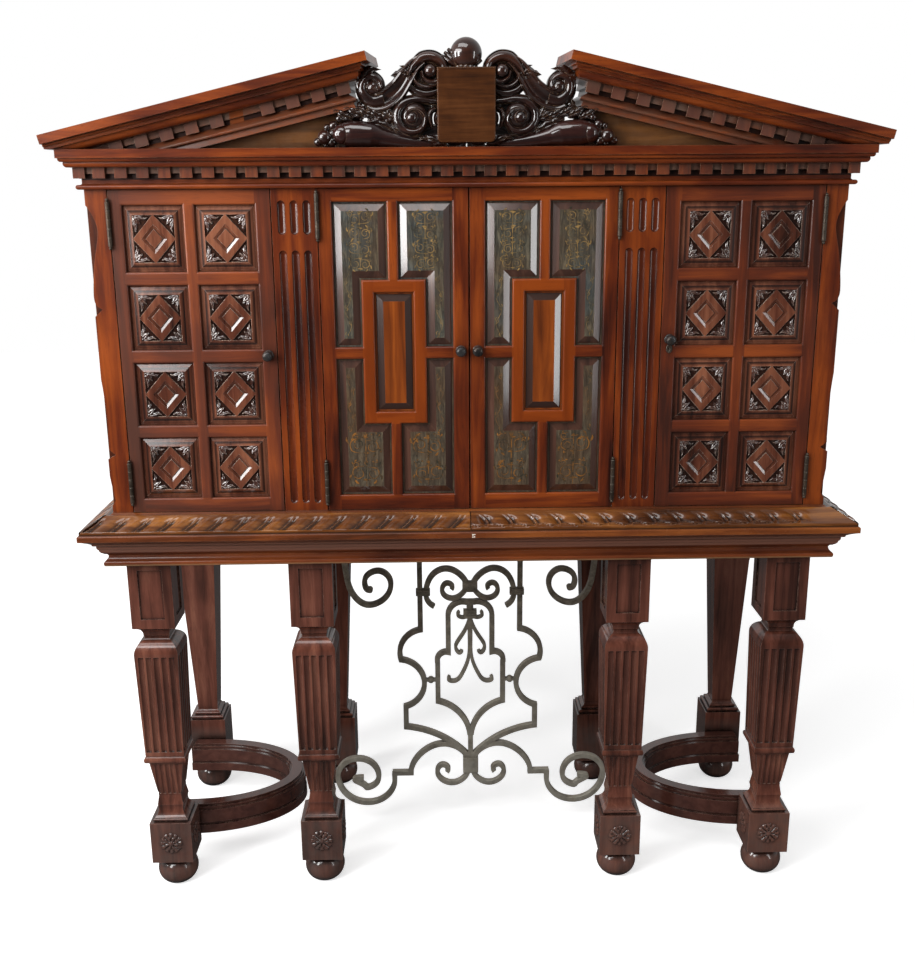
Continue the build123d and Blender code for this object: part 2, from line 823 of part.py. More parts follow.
iron_frame = iron_half(draw_frame)
iron_arches = iron_half(draw_arches)
iron_top_scrolls = iron_half(draw_top_scroll)
iron_bottom_scroll = iron_half(draw_bottom_scroll)
iron_pendant = iron_half(draw_pendant)
with iron_arches:
    add(iron_frame.part, mode=Mode.SUBTRACT)
with iron_bottom_scroll:
    add(iron_frame.part, mode=Mode.SUBTRACT)
with iron_pendant:
    add(iron_frame.part, mode=Mode.SUBTRACT)
save(iron_frame, "iron_frame")
save(iron_arches, "iron_arches")
save(iron_top_scrolls, "iron_top_scrolls")
save(iron_bottom_scroll, "iron_bottom_scroll")
save(iron_pendant, "iron_pendant")

# ---------------------------------------------------------------- carcass boards
side_inner = carcass_half - board
save(block(-side_inner, side_inner, inner_y, rear_y, carcass_bottom, carcass_bottom + shelf_board), "bottom_board")
save(block(-side_inner, side_inner, inner_y, rear_y, carcass_top - shelf_board, carcass_top), "top_board")
save(block(-carcass_half, carcass_half, rear_y, back_y, carcass_bottom, carcass_top), "back_panel")
inside_bottom = carcass_bottom + shelf_board
inside_top = carcass_top - shelf_board
shelf_z = (inside_bottom + inside_top) / 2
shelf_front = inner_y + 20
partition_half = board / 2
for side, name in side_names:
    side_range = sorted((side * side_inner, side * carcass_half))
    save(block(*side_range, inner_y, rear_y, carcass_bottom, carcass_top), f"side_{name}")

with BuildPart() as partitions:
    with BuildSketch(Plane.XY.offset(inside_bottom)):
        with Locations((0, (inner_y + rear_y) / 2)):
            with GridLocations(2 * pilaster_x, 1, 2, 1):
                Rectangle(board, rear_y - inner_y)
    extrude(amount=inside_top - inside_bottom)
save(partitions, "partitions")

with BuildPart() as shelves:
    with BuildSketch(Plane.XY.offset(shelf_z)):
        shelf_depth = rear_y - shelf_front
        shelf_y = (rear_y + shelf_front) / 2
        with Locations((0, shelf_y)):
            Rectangle(2 * (pilaster_x - partition_half), shelf_depth)
        outer_bay = side_inner - pilaster_x - partition_half
        bay_x = pilaster_x + partition_half + outer_bay / 2
        with Locations((bay_x, shelf_y), (-bay_x, shelf_y)):
            Rectangle(outer_bay, shelf_depth)
    extrude(amount=shelf_board)
save(shelves, "shelves")

# ---------------------------------------------------------------- hinge heights
outer_hinge_zs = (door_top - hinge_top_inset - hinge_length / 2, door_bottom + hinge_bottom_inset + hinge_length / 2)
centre_hinge_zs = (door_top - 10 - hinge_length / 2, door_bottom + 18 + hinge_length / 2)
leaf_depth = door_thickness - 3

# door, hinge x, side of the hinge the door lies on, hinge heights
hinge_rows = (
    ("door_1", -outer_hinge_x, 1, outer_hinge_zs),
    ("door_2", -centre_hinge_x, 1, centre_hinge_zs),
    ("door_3", centre_hinge_x, -1, centre_hinge_zs),
    ("door_4", outer_hinge_x, -1, outer_hinge_zs),
)


def leaf_mortises(hinge_x, toward, heights):
    """Cut the mortise of a hinge leaf into the edge that lies on one side of the gap."""
    for z in heights:
        x = hinge_x + toward * (door_gap / 2 + hinge_leaf / 2)
        with Locations((x, face_y + leaf_depth / 2, z)):
            Box(hinge_leaf, leaf_depth, hinge_length, mode=Mode.SUBTRACT)


def hinge_leaf_pair(hinge_x, toward, heights, knuckles):
    """Leaves and knuckles of one half of a door's hinges; the knuckle numbers count from the bottom."""
    step = hinge_length / 5
    pin_y = face_y - hinge_proud
    for z in heights:
        low = z - hinge_length / 2
        leaf_x = hinge_x + toward * (door_gap / 2 + hinge_leaf / 2)
        with Locations((leaf_x, face_y + leaf_depth / 2, z)):
            Box(hinge_leaf, leaf_depth, hinge_length)
        for knuckle in knuckles:
            middle = low + (knuckle + 0.5) * step
            height = step - 0.3
            with Locations((hinge_x, pin_y, middle)):
                Cylinder(hinge_knuckle_radius, height)
            with Locations((leaf_x, (pin_y + face_y) / 2, middle)):
                Box(hinge_leaf, hinge_proud, height)
        with Locations((hinge_x, pin_y, z)):
            Cylinder(hinge_pin_radius + hinge_fit, hinge_length, mode=Mode.SUBTRACT)


with BuildPart() as hinge_fixed_leaves:
    for _, hinge_x, toward, heights in hinge_rows:
        hinge_leaf_pair(hinge_x, -toward, heights, (0, 2, 4))
save(hinge_fixed_leaves, "hinge_fixed_leaves")

with BuildPart() as hinge_pins:
    for _, hinge_x, _, heights in hinge_rows:
        for z in heights:
            with Locations((hinge_x, face_y - hinge_proud, z)):
                Cylinder(hinge_pin_radius, hinge_length + 2)
            for end in (-1, 1):
                ball_z = z + end * (hinge_length / 2 + hinge_ball_radius + 0.2)
                with Locations((hinge_x, face_y - hinge_proud, ball_z)):
                    Sphere(hinge_ball_radius)
save(hinge_pins, "hinge_pins")

for door, hinge_x, toward, heights in hinge_rows:
    with BuildPart() as door_leaves:
        hinge_leaf_pair(hinge_x, toward, heights, (1, 3))
    save(door_leaves, f"{door}_hinge_leaves")

# ---------------------------------------------------------------- face frame
scallop_depth = 10
scallop_reach = 20
stile_inner = carcass_half - stile_width


def scallops():
    """Leaf-shaped hollows down the outer edge of the right-hand stile, measured up from its foot."""
    edge = carcass_half
    with BuildLine() as upper:
        Line((edge + 1, 656), (edge - 1, 656))
        Spline(
            (edge - 1, 656), (edge - 12, 637), (edge - scallop_reach, 613), (edge - 14, 569),
            (edge - 5, 520), (edge - 1, 481), (edge - 4, 455), (edge - 17, 445),
        )
        Line((edge - 17, 445), (edge + 1, 429))
        Line((edge + 1, 429), (edge + 1, 656))
    make_face(upper.edges())
    with BuildLine() as middle:
        ThreePointArc((edge + 1, 305), (edge - 5, 213), (edge - 3, 143))
        Line((edge - 3, 143), (edge - 17, 131))
        Line((edge - 17, 131), (edge + 1, 121))
        Line((edge + 1, 121), (edge + 1, 305))
    make_face(middle.edges())
    with BuildLine() as lower:
        ThreePointArc((edge + 1, 93), (edge - 4, 53), (edge - 8, 28))
        Line((edge - 8, 28), (edge + 1, 15))
        Line((edge + 1, 15), (edge + 1, 93))
    make_face(lower.edges())


with BuildPart() as stile_right:
    with BuildSketch(Plane.XY.offset(carcass_bottom)):
        with Locations(((stile_inner + carcass_half) / 2, face_y + board / 2)):
            Rectangle(stile_width, board)
    extrude(amount=door_opening_height)
    with BuildSketch(Plane.XZ.offset(-face_y).shift_origin((0, face_y, carcass_bottom))):
        scallops()
    extrude(amount=-scallop_depth, mode=Mode.SUBTRACT)
    leaf_mortises(outer_hinge_x, 1, outer_hinge_zs)
with BuildPart() as stile_left:
    mirror(stile_right.part, about=Plane.YZ)
save(stile_right, "stile_right")
save(stile_left, "stile_left")

pilaster_flute_pitch = 26
pilaster_flute_radius = 8
short_flute = (carcass_bottom + 595, carcass_bottom + 664)
long_flute = (carcass_bottom + 17, carcass_bottom + 563)
bolt_y = face_y + door_thickness / 2
for side, name in side_names:
    with BuildPart() as pilaster:
        with BuildSketch(Plane.XY.offset(carcass_bottom)):
            with Locations((side * pilaster_x, face_y + board / 2)):
                Rectangle(pilaster_width, board)
        extrude(amount=door_opening_height)
        for low, high in (short_flute, long_flute):
            with BuildSketch(Plane.XZ.offset(-face_y)):
                with Locations((side * pilaster_x, (low + high) / 2)):
                    with GridLocations(pilaster_flute_pitch, 1, 3, 1):
                        SlotOverall(high - low, 2 * pilaster_flute_radius, rotation=90)
            extrude(amount=-4, mode=Mode.SUBTRACT)
        leaf_mortises(side * centre_hinge_x, side, centre_hinge_zs)
        if side > 0:
            mortise_depth = bolt_travel + bolt_mortise_clearance
            with Locations((pilaster_outer - mortise_depth / 2, bolt_y, lock_height)):
                Box(
                    mortise_depth,
                    bolt_thickness + 2 * bolt_mortise_clearance,
                    bolt_width + 2 * bolt_mortise_clearance,
                    mode=Mode.SUBTRACT,
                )
    save(pilaster, f"pilaster_{name}")


# ---------------------------------------------------------------- doors
def rectangle_outline(x0, x1, z0, z1, grow=0):
    """Corners of a rectangle, moved outwards by grow."""
    return [(x0 - grow, z0 - grow), (x1 + grow, z0 - grow), (x1 + grow, z1 + grow), (x0 - grow, z1 + grow)]


def ell_outline(x0, x1, z0, z1, notch_x, notch_z, corner, grow=0):
    """Corners of an L-shaped opening: a rectangle without the corner that the centre frame takes.

    The corner is (right, top) as two signs: which corner of the rectangle is missing.
    """
    left, right, low, high = x0 - grow, x1 + grow, z0 - grow, z1 + grow
    at_right, at_top = corner
    cut_x = notch_x + grow * at_right
    cut_z = notch_z + grow * at_top
    outline = {
        (1, -1): [(left, low), (cut_x, low), (cut_x, cut_z), (right, cut_z), (right, high), (left, high)],
        (-1, -1): [(left, cut_z), (cut_x, cut_z), (cut_x, low), (right, low), (right, high), (left, high)],
        (1, 1): [(left, low), (right, low), (right, cut_z), (cut_x, cut_z), (cut_x, high), (left, high)],
        (-1, 1): [(left, low), (right, low), (right, high), (cut_x, high), (cut_x, cut_z), (left, cut_z)],
    }
    return outline[corner]


def door_face(outline, depth):
    """Face of one outline on the door's front plane, moved back by depth."""
    with BuildSketch(Plane.XZ.offset(-(face_y + depth))) as flat:
        Polygon(*outline, align=None)
    return flat.sketch


outer_door_left = -outer_hinge_x + door_gap / 2
outer_door_right = -pilaster_outer - door_gap
centre_door_left = -centre_hinge_x + door_gap / 2
centre_door_right = -meeting_gap / 2


def outer_openings():
    """Panel openings of the left outer door, as (x0, x1, z0, z1)."""
    x_first = outer_door_left + outer_stile_hinge
    x_last = outer_door_right - outer_stile_lock
    width = (x_last - x_first - (outer_columns - 1) * outer_muntin) / outer_columns
    clear = door_top - door_bottom - 2 * outer_rail - (outer_rows - 1) * outer_mid_rail
    height = clear / outer_rows
    openings = []
    for row in range(outer_rows):
        for column in range(outer_columns):
            x0 = x_first + column * (width + outer_muntin)
            z0 = door_bottom + outer_rail + row * (height + outer_mid_rail)
            openings.append((x0, x0 + width, z0, z0 + height))
    return openings


def centre_outlines(grow):
    """Openings of the left centre door: four L-shapes round one tall centre panel."""
    x0 = centre_door_left + centre_stile_hinge
    x1 = centre_door_right - centre_stile_lock
    z0 = door_bottom + centre_bottom_rail
    z1 = door_top - centre_top_rail
    middle_x = (x0 + x1) / 2
    middle_z = (z0 + z1) / 2
    half_mullion = centre_mullion / 2
    half_rail = centre_mid_rail / 2
    frame_left = middle_x - centre_frame_width / 2
    frame_right = middle_x + centre_frame_width / 2
    frame_low = middle_z - centre_frame_height / 2
    frame_high = middle_z + centre_frame_height / 2
    left_range = (x0, middle_x - half_mullion)
    right_range = (middle_x + half_mullion, x1)
    low_range = (z0, middle_z - half_rail)
    high_range = (middle_z + half_rail, z1)
    border = centre_panel_border
    tall = (frame_left + border, frame_right - border, frame_low + border, frame_high - border)
    return [
        ell_outline(*left_range, *high_range, frame_left, frame_high, (1, -1), grow),
        ell_outline(*right_range, *high_range, frame_right, frame_high, (-1, -1), grow),
        ell_outline(*left_range, *low_range, frame_left, frame_low, (1, 1), grow),
        ell_outline(*right_range, *low_range, frame_right, frame_low, (-1, 1), grow),
        rectangle_outline(*tall, grow),
    ]


def outer_outlines(grow):
    """Openings of the left outer door, moved outwards by grow."""
    return [rectangle_outline(*opening, grow) for opening in outer_openings()]


def door_frame(left, right, outlines):
    """Framed door with its openings, rebated at the back for the panels."""
    with BuildPart() as frame:
        with BuildSketch(Plane.XZ.offset(-face_y)):
            Polygon(*rectangle_outline(left, right, door_bottom, door_top), align=None)
        extrude(amount=-door_thickness)
        for outline in outlines(0):
            extrude(door_face(outline, 0), amount=-door_thickness, mode=Mode.SUBTRACT)
        for outline in outlines(rebate):
            rebate_face = door_face(outline, door_thickness - rebate_depth)
            extrude(rebate_face, amount=-rebate_depth, mode=Mode.SUBTRACT)
        front_face = frame.faces().sort_by(Axis.Y)[0]
        for wire in front_face.inner_wires():
            fillet(wire.edges(), frame_bead)
    return frame


def raised_panels(outlines, carving):
    """Panels of one door: a flange in the rebate and a bevelled field that rises into the opening."""
    shoulder = door_thickness - rebate_depth
    with BuildPart() as panels:
        for outline in outlines(rebate - panel_clearance):
            extrude(door_face(outline, shoulder), amount=-panel_flange)
        step = -panel_clearance - 3
        for low, high in zip(outlines(step), outlines(step - panel_bevel)):
            loft([door_face(low, shoulder), door_face(high, shoulder - panel_rise)])
        for face, depth in carving():
            extrude(face, amount=-depth, mode=Mode.SUBTRACT)
    return panels


def lozenge_carving():
    """Fields of the outer doors: a sunk ground round a lozenge, and a sunk band inside the lozenge."""
    field_y = face_y + door_thickness - rebate_depth - panel_rise
    margin = panel_clearance + 3 + panel_bevel + 1
    carving = []
    for x0, x1, z0, z1 in outer_openings():
        wide = (x1 - x0) / 2 - margin
        tall = (z1 - z0) / 2 - margin
        corners = [(wide, 0), (0, tall), (-wide, 0), (0, -tall)]
        for shares, depth in (((None, 1.03), panel_relief), ((0.62, 0.42), 2)):
            with BuildSketch(Plane.XZ.offset(-field_y)) as ground:
                with Locations(((x0 + x1) / 2, (z0 + z1) / 2)):
                    outer_share, inner_share = shares
                    if outer_share is None:
                        Rectangle(2 * wide, 2 * tall)
                    else:
                        Polygon(*[(outer_share * x, outer_share * z) for x, z in corners], align=None)
                    inner = [(inner_share * x, inner_share * z) for x, z in corners]
                    Polygon(*inner, align=None, mode=Mode.SUBTRACT)
            carving.append((ground.sketch, depth))
    return carving


def no_carving():
    """The centre doors keep plain raised fields."""
    return []


def knob(x, z):
    """Turned iron pull on a spindle through the door."""
    with BuildPart() as pull:
        with BuildSketch(Plane.XY.offset(z)):
            with BuildLine():
                front = face_y - knob_length
                Polyline(
                    (x, face_y + door_thickness), (x + spindle_radius, face_y + door_thickness),
                    (x + spindle_radius, face_y), (x + knob_radius, face_y), (x + knob_radius, face_y - 2),
                    (x + 5, face_y - 5), (x + 4, face_y - 9),
                )
                Spline((x + 4, face_y - 9), (x + knob_radius, face_y - 18), (x, front), tangents=((1, 0), (-1, 0)))
                Line((x, front), (x, face_y + door_thickness))
            make_face()
        revolve(axis=Axis((x, 0, z), (0, 1, 0)))
    return pull


knob_x = outer_door_right - knob_edge
centre_knob_x = (centre_door_right - centre_stile_lock + centre_door_right) / 2
door_kinds = {
    "door_1": (outer_door_left, outer_door_right, outer_outlines, lozenge_carving, knob_x, knob_height_left),
    "door_2": (centre_door_left, centre_door_right, centre_outlines, no_carving, centre_knob_x, knob_height_centre),
    "door_3": (centre_door_left, centre_door_right, centre_outlines, no_carving, centre_knob_x, knob_height_centre),
    "door_4": (outer_door_left, outer_door_right, outer_outlines, lozenge_carving, knob_x, knob_height_right),
}
lock_x = -knob_x
bolt_edge = -outer_door_right
for door, hinge_x, toward, heights in hinge_rows:
    left, right, outlines, carving, pull_x, pull_z = door_kinds[door]
    frame = door_frame(left, right, outlines)
    with frame:
        leaf_mortises(-abs(hinge_x), 1, heights)
        with Locations(Location((pull_x, face_y + door_thickness / 2, pull_z), (90, 0, 0))):
            Cylinder(spindle_radius + hinge_fit, door_thickness, mode=Mode.SUBTRACT)
        if door == "door_4":
            slot_length = bolt_length + 2 * bolt_clearance
            with Locations((-(bolt_edge + slot_length / 2), bolt_y, lock_height)):
                Box(
                    slot_length,
                    bolt_thickness + 2 * bolt_clearance,
                    bolt_width + 2 * bolt_clearance,
                    mode=Mode.SUBTRACT,
                )
            with Locations(Location((-lock_x, face_y + door_thickness / 4, lock_height), (90, 0, 0))):
                Cylinder(spindle_radius, door_thickness / 2, mode=Mode.SUBTRACT)
    panels = raised_panels(outlines, carving)
    pull = knob(pull_x, pull_z)
    pieces = ((frame, "frame"), (panels, "panels"), (pull, "knob"))
    for piece, kind in pieces:
        if toward > 0:
            save(piece, f"{door}_{kind}")
        else:
            save_shape(mirror(piece.part, about=Plane.YZ), f"{door}_{kind}")

with BuildPart() as lock_escutcheon:
    with BuildSketch(Plane.XZ.offset(-face_y)):
        with Locations((lock_x, lock_height)):
            Ellipse(6.5, 9)
            Circle(1.8, mode=Mode.SUBTRACT)
            with Locations((0, -3)):
                Rectangle(1.8, 5, mode=Mode.SUBTRACT)
    extrude(amount=1.5)
save(lock_escutcheon, "lock_escutcheon")

bolt_start = bolt_edge + bolt_clearance
save(
    block(
        bolt_start, bolt_start + bolt_length,
        bolt_y - bolt_thickness / 2, bolt_y + bolt_thickness / 2,
        lock_height - bolt_width / 2, lock_height + bolt_width / 2,
    ),
    "lock_bolt",
)
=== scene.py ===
from math import cos, exp, hypot, pi, radians, sin

import bpy
from mathutils import Matrix, Vector


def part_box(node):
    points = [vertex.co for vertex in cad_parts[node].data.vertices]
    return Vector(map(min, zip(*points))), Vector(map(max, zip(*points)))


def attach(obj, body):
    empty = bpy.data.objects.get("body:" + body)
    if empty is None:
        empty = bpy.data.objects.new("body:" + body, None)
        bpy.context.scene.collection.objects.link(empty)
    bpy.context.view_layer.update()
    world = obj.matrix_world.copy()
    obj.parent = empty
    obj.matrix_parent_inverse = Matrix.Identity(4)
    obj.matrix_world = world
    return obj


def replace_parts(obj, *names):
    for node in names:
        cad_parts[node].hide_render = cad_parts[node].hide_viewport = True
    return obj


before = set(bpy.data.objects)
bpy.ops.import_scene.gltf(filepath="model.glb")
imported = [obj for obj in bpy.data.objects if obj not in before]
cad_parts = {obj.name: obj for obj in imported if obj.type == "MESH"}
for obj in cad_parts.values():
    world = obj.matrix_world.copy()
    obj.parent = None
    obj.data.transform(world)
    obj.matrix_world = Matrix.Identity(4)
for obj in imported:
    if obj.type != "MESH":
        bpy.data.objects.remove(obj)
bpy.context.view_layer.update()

# ---- places, in metres
MM = 0.001
face_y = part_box("stile_left")[0].y  # front of the doors and the face frame
paint_y = face_y + 2 * MM  # front of the raised fields of every door
ground_y = face_y + 5 * MM  # carved ground behind the lozenges
cornice_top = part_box("cornice")[1].z
rake_x, rake_z = 0.203, 1.902  # upper inner end of the raking cornice
rake_fall, rake_cos = 0.2364, 0.973  # its drop along its run, and the cosine of its slope

crest_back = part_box("crest_scroll_left")[1].y
plaque_low, plaque_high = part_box("plaque")
crest_x = (plaque_low.x + plaque_high.x) / 2
crest_foot = 1700  # mm above the floor, from where the crest's heights are counted

# sloped face of the plinth, from its foot to the face frame, and the carved skin on it
plinth_low, plinth_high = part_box("carved_plinth")
plinth_reach = plinth_high.x - 3 * MM
slope_low = Vector((0, plinth_low.y + 3 * MM, plinth_low.z + 13.5 * MM))
slope_run = face_y - slope_low.y
slope_rise = plinth_high.z - slope_low.z
slope_length = hypot(slope_run, slope_rise)
slope_out, slope_up = slope_rise / slope_length, slope_run / slope_length
gadroon_pitch = 52.5 * MM
gadroon_depth = 6.6 * MM
lean_right, lean_left = 42 * MM, -34 * MM
carved_from, carved_to = 0.08, 0.70  # shares of the way up the slope
skin_from, skin_to = 0.02, 0.88

# openings and panels of the right doors, which the left ones mirror
outer_low, outer_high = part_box("door_4_frame")
outer_x = (outer_low.x + 32 * MM, outer_high.x - 26 * MM)
outer_z = (outer_low.z + 31 * MM, outer_high.z - 31 * MM)
outer_rail, outer_mullion = 28 * MM, 24 * MM
panel_wide = (outer_x[1] - outer_x[0] - outer_mullion) / 2
panel_tall = (outer_z[1] - outer_z[0] - 3 * outer_rail) / 4
outer_columns = [(x, x + panel_wide) for x in (outer_x[0], outer_x[1] - panel_wide)]
outer_rows = [(z, z + panel_tall) for z in (outer_z[0] + row * (panel_tall + outer_rail) for row in range(4))]
centre_low, centre_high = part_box("door_3_frame")
centre_x = (centre_low.x + 33 * MM, centre_high.x - 29 * MM)
centre_z = (centre_low.z + 34 * MM, centre_high.z - 27 * MM)
rail_half, mullion_half = 13 * MM, 11.5 * MM
tall_x, tall_z = (0.1177, 0.1997), (1.1775, 1.4315)  # tall panel in the middle of the door
border = 27 * MM
frame_x, frame_z = ((low - border, high + border) for low, high in (tall_x, tall_z))


# ---- mesh helpers
def smooth_path(points, count):
    """Count + 1 evenly spaced points on a curve through the given ones."""
    points = [Vector(p) for p in points]
    ends = [2 * points[0] - points[1]] + points + [2 * points[-1] - points[-2]]
    fine = []
    for a, b, c, d in zip(ends, ends[1:], ends[2:], ends[3:]):
        for step in range(12):
            t = step / 12
            turn = 2 * b + t * (c - a) + t**2 * (2 * a - 5 * b + 4 * c - d) + t**3 * (3 * b - a - 3 * c + d)
            fine.append(turn / 2)
    fine.append(points[-1])
    runs = [0.0]
    for a, b in zip(fine, fine[1:]):
        runs.append(runs[-1] + (b - a).length)
    even, at = [], 0
    for i in range(count + 1):
        goal = runs[-1] * i / count
        while at < len(runs) - 2 and runs[at + 1] < goal:
            at += 1
        share = (goal - runs[at]) / max(runs[at + 1] - runs[at], 1e-9)
        even.append(fine[at].lerp(fine[at + 1], min(share, 1)))
    return even


def along(values, t):
    """The value at share t of evenly spread values."""
    place = min(max(t, 0), 1) * (len(values) - 1)
    low = min(int(place), len(values) - 2)
    return values[low] + (values[low + 1] - values[low]) * (place - low)


def ease(low, high, value):
    """Smooth step from 0 at low to 1 at high."""
    t = min(max((value - low) / (high - low), 0), 1)
    return t * t * (3 - 2 * t)


def bell(value, middle, width):
    return exp(-(((value - middle) / width) ** 2))


def full_turn(sides):
    return [2 * pi * j / sides for j in range(sides)]


class Carving:
    """Vertices and faces of one carved piece."""

    def __init__(self):
        self.verts = []
        self.faces = []

    def grid(self, rows, wrap=False, caps=False):
        """Joins rows of equally many points with quads."""
        base, wide = len(self.verts), len(rows[0])
        for row in rows:
            self.verts.extend(tuple(p) for p in row)
        for i in range(len(rows) - 1):
            for j in range(wide if wrap else wide - 1):
                k = (j + 1) % wide
                low, high = base + i * wide, base + (i + 1) * wide
                self.faces.append((low + j, low + k, high + k, high + j))
        if caps:
            self.faces.append(tuple(base + j for j in reversed(range(wide))))
            self.faces.append(tuple(base + (len(rows) - 1) * wide + j for j in range(wide)))

    def body(self, rows):
        """Closed body through rings of points."""
        self.grid(rows, wrap=True, caps=True)

    def add(self, other):
        base = len(self.verts)
        self.verts.extend(other.verts)
        self.faces.extend(tuple(base + i for i in face) for face in other.faces)

    def flip(self):
        """Turns every face the other way round."""
        self.faces = [tuple(reversed(face)) for face in self.faces]

    def moved(self, transform):
        twin = Carving()
        twin.verts = [tuple(transform @ Vector(v)) for v in self.verts]
        twin.faces = list(self.faces)
        if transform.determinant() < 0:
            twin.flip()
        return twin

    def mirrored(self, about):
        """The same carving on the other side of the plane x = about."""
        return self.moved(Matrix.Translation((2 * about, 0, 0)) @ Matrix.Diagonal((-1, 1, 1, 1)))

    def make(self, name, material, sharp=40):
        mesh = bpy.data.meshes.new(name)
        mesh.from_pydata(self.verts, [], self.faces)
        mesh.validate()
        mesh.shade_smooth()
        mesh.set_sharp_from_angle(angle=radians(sharp))
        mesh.materials.append(material)
        piece = bpy.data.objects.new(name, mesh)
        bpy.context.scene.collection.objects.link(piece)
        return piece


def stations(points, count):
    """Share, place and unit side of count + 1 places along a curve in (x, z)."""
    path = smooth_path(points, count)
    for i, p in enumerate(path):
        run = (path[min(i + 1, count)] - path[max(i - 1, 0)]).normalized()
        yield i / count, p, Vector((-run.y, run.x))


# sections of bands: shares of the half width and of the depth
moulded_band = (
    (-1, 0), (-1, 0.78), (-0.88, 0.97), (-0.7, 1), (-0.55, 0.88), (-0.25, 0.7),
    (0.1, 0.66), (0.45, 0.8), (0.62, 0.97), (0.85, 1), (1, 0.8), (1, 0),
)
rolled_band = (
    (-1, 0), (-1, 0.55), (-0.9, 0.68), (-0.78, 0.6), (-0.6, 0.86), (-0.3, 1), (0, 1.04),
    (0.3, 1), (0.6, 0.86), (0.78, 0.6), (0.9, 0.68), (1, 0.55), (1, 0),
)
collar_band = ((-1, 0), (-1, 0.9), (-0.8, 1), (-0.3, 0.95), (0, 1.05), (0.3, 0.95), (0.8, 1), (1, 0.9), (1, 0))


def swept_band(carving, points, widths, depths, count, back=crest_back, section=rolled_band):
    """Band along a path given in (x, z), standing out from a back plane."""
    rows = []
    for t, p, side in stations(points, count):
        side = side * along(widths, t) / 2
        deep = along(depths, t)
        rows.append([(p.x + a * side.x, back - h * deep, p.y + a * side.y) for a, h in section])
    carving.body(rows)


def leaf(carving, points, width, lobes, depth, lift, curl=0, back=crest_back, count=30, across=8):
    """Carved leaf along a path in (x, z): lobed rim, sunk midrib, tip that curls out."""
    rows = []
    for t, p, square in stations(points, count):
        body = sin(pi * (0.06 + t * 0.94) ** 0.75) ** 0.7 if t < 1 else 0.02
        rim = 0.72 + 0.28 * abs(sin(pi * lobes * t)) ** 0.6
        run = Vector((square.y, -square.x))
        side = square * max(width * body * rim / 2, 0.4 * MM)
        row = []
        for j in range(-across, across + 1):
            s = j / across
            crown = lift * (1 - 0.75 * s * s) * (0.35 + 0.65 * body)
            veins = 0.2 * lift * abs(s) * sin(2 * pi * (lobes * t - 0.9 * abs(s)))
            out = depth + crown - 0.34 * lift * bell(s, 0, 0.16) + veins + curl * t**3
            spot = p + side * s - run * (0.35 * width * s * s / lobes)
            row.append((spot.x, back - out, spot.y))
        row.insert(0, (row[0][0], back, row[0][2]))
        row.append((row[-1][0], back, row[-1][2]))
        rows.append(row)
    carving.body(rows)


def tube(carving, points, radii, middle_y, flat, count, sides):
    """Tapering body along a path in (x, z), flattened from front to back."""
    rows = []
    for t, p, side in stations(points, count):
        radius = along(radii, t)
        rows.append([(p.x + side.x * radius * cos(a), middle_y - flat * radius * sin(a),
                      p.y + side.y * radius * cos(a)) for a in full_turn(sides)])
    carving.body(rows)


def ball(carving, centre, radius, flat=1.0, rings=10, sides=18):
    """Ball with its poles in front and behind."""
    rows = []
    for i in range(1, rings):
        tilt = pi * i / rings
        ring = radius * sin(tilt)
        depth = centre[1] - flat * radius * cos(tilt)
        rows.append([(centre[0] + ring * cos(a), depth, centre[2] + ring * sin(a)) for a in full_turn(sides)])
    carving.body(rows)


def lathe(carving, x, y, profile, sides, petals=0):
    """Flattened body round an upright axis, its wall pressed into petals."""
    rows = []
    for radius, z in profile:
        row = []
        for angle in full_turn(sides):
            r = radius * (1 - 0.16 * (1 - abs(cos(petals * angle / 2)) ** 0.6))
            row.append((x + r * cos(angle), y + 0.8 * r * sin(angle), z))
        rows.append(row)
    carving.body(rows)


# ---- node trees
def rgba(tone):
    return (*tone, 1) if isinstance(tone, tuple) else (tone, tone, tone, 1)


def reckoned(kind):
    return lambda a, b: a.tree.math(kind, a, b)


class Value:
    """A value in a node tree that can be reckoned with like a number."""

    def __init__(self, tree, socket):
        self.tree, self.socket = tree, socket

    __add__ = __radd__ = reckoned("ADD")
    __sub__ = reckoned("SUBTRACT")
    __mul__ = __rmul__ = reckoned("MULTIPLY")
    __truediv__ = reckoned("DIVIDE")
    __gt__ = reckoned("GREATER_THAN")
    __lt__ = reckoned("LESS_THAN")
    __or__ = reckoned("MAXIMUM")  # the larger of the two

    def __rsub__(self, other):
        return self.tree.math("SUBTRACT", other, self)

    def __abs__(self):
        return self.tree.math("ABSOLUTE", self)

    def within(self, low, high):
        """1 where the value lies between low and high."""
        return self.tree.math("COMPARE", self, (low + high) / 2, abs(high - low) / 2)


class Tree:
    """A node tree, put together from short calls."""

    def __init__(self, tree):
        self.tree = tree

    def node(self, kind, inputs, output=0, **settings):
        """Makes a node, feeds its inputs and gives one of its outputs."""
        made = self.tree.nodes.new("ShaderNode" + kind)
        for key, value in settings.items():
            setattr(made, key, value)
        for key, value in inputs.items():
            self.put(value, made.inputs[key])
        return Value(self, made.outputs[output])

    def put(self, value, socket):
        """Links a value to a socket, or sets the socket to a number or a colour."""
        if isinstance(value, Value):
            self.tree.links.new(value.socket, socket)
        else:
            socket.default_value = rgba(value) if socket.type == "RGBA" else value

    def math(self, kind, *values, clamp=False):
        return self.node("Math", dict(enumerate(values)), operation=kind, use_clamp=clamp)


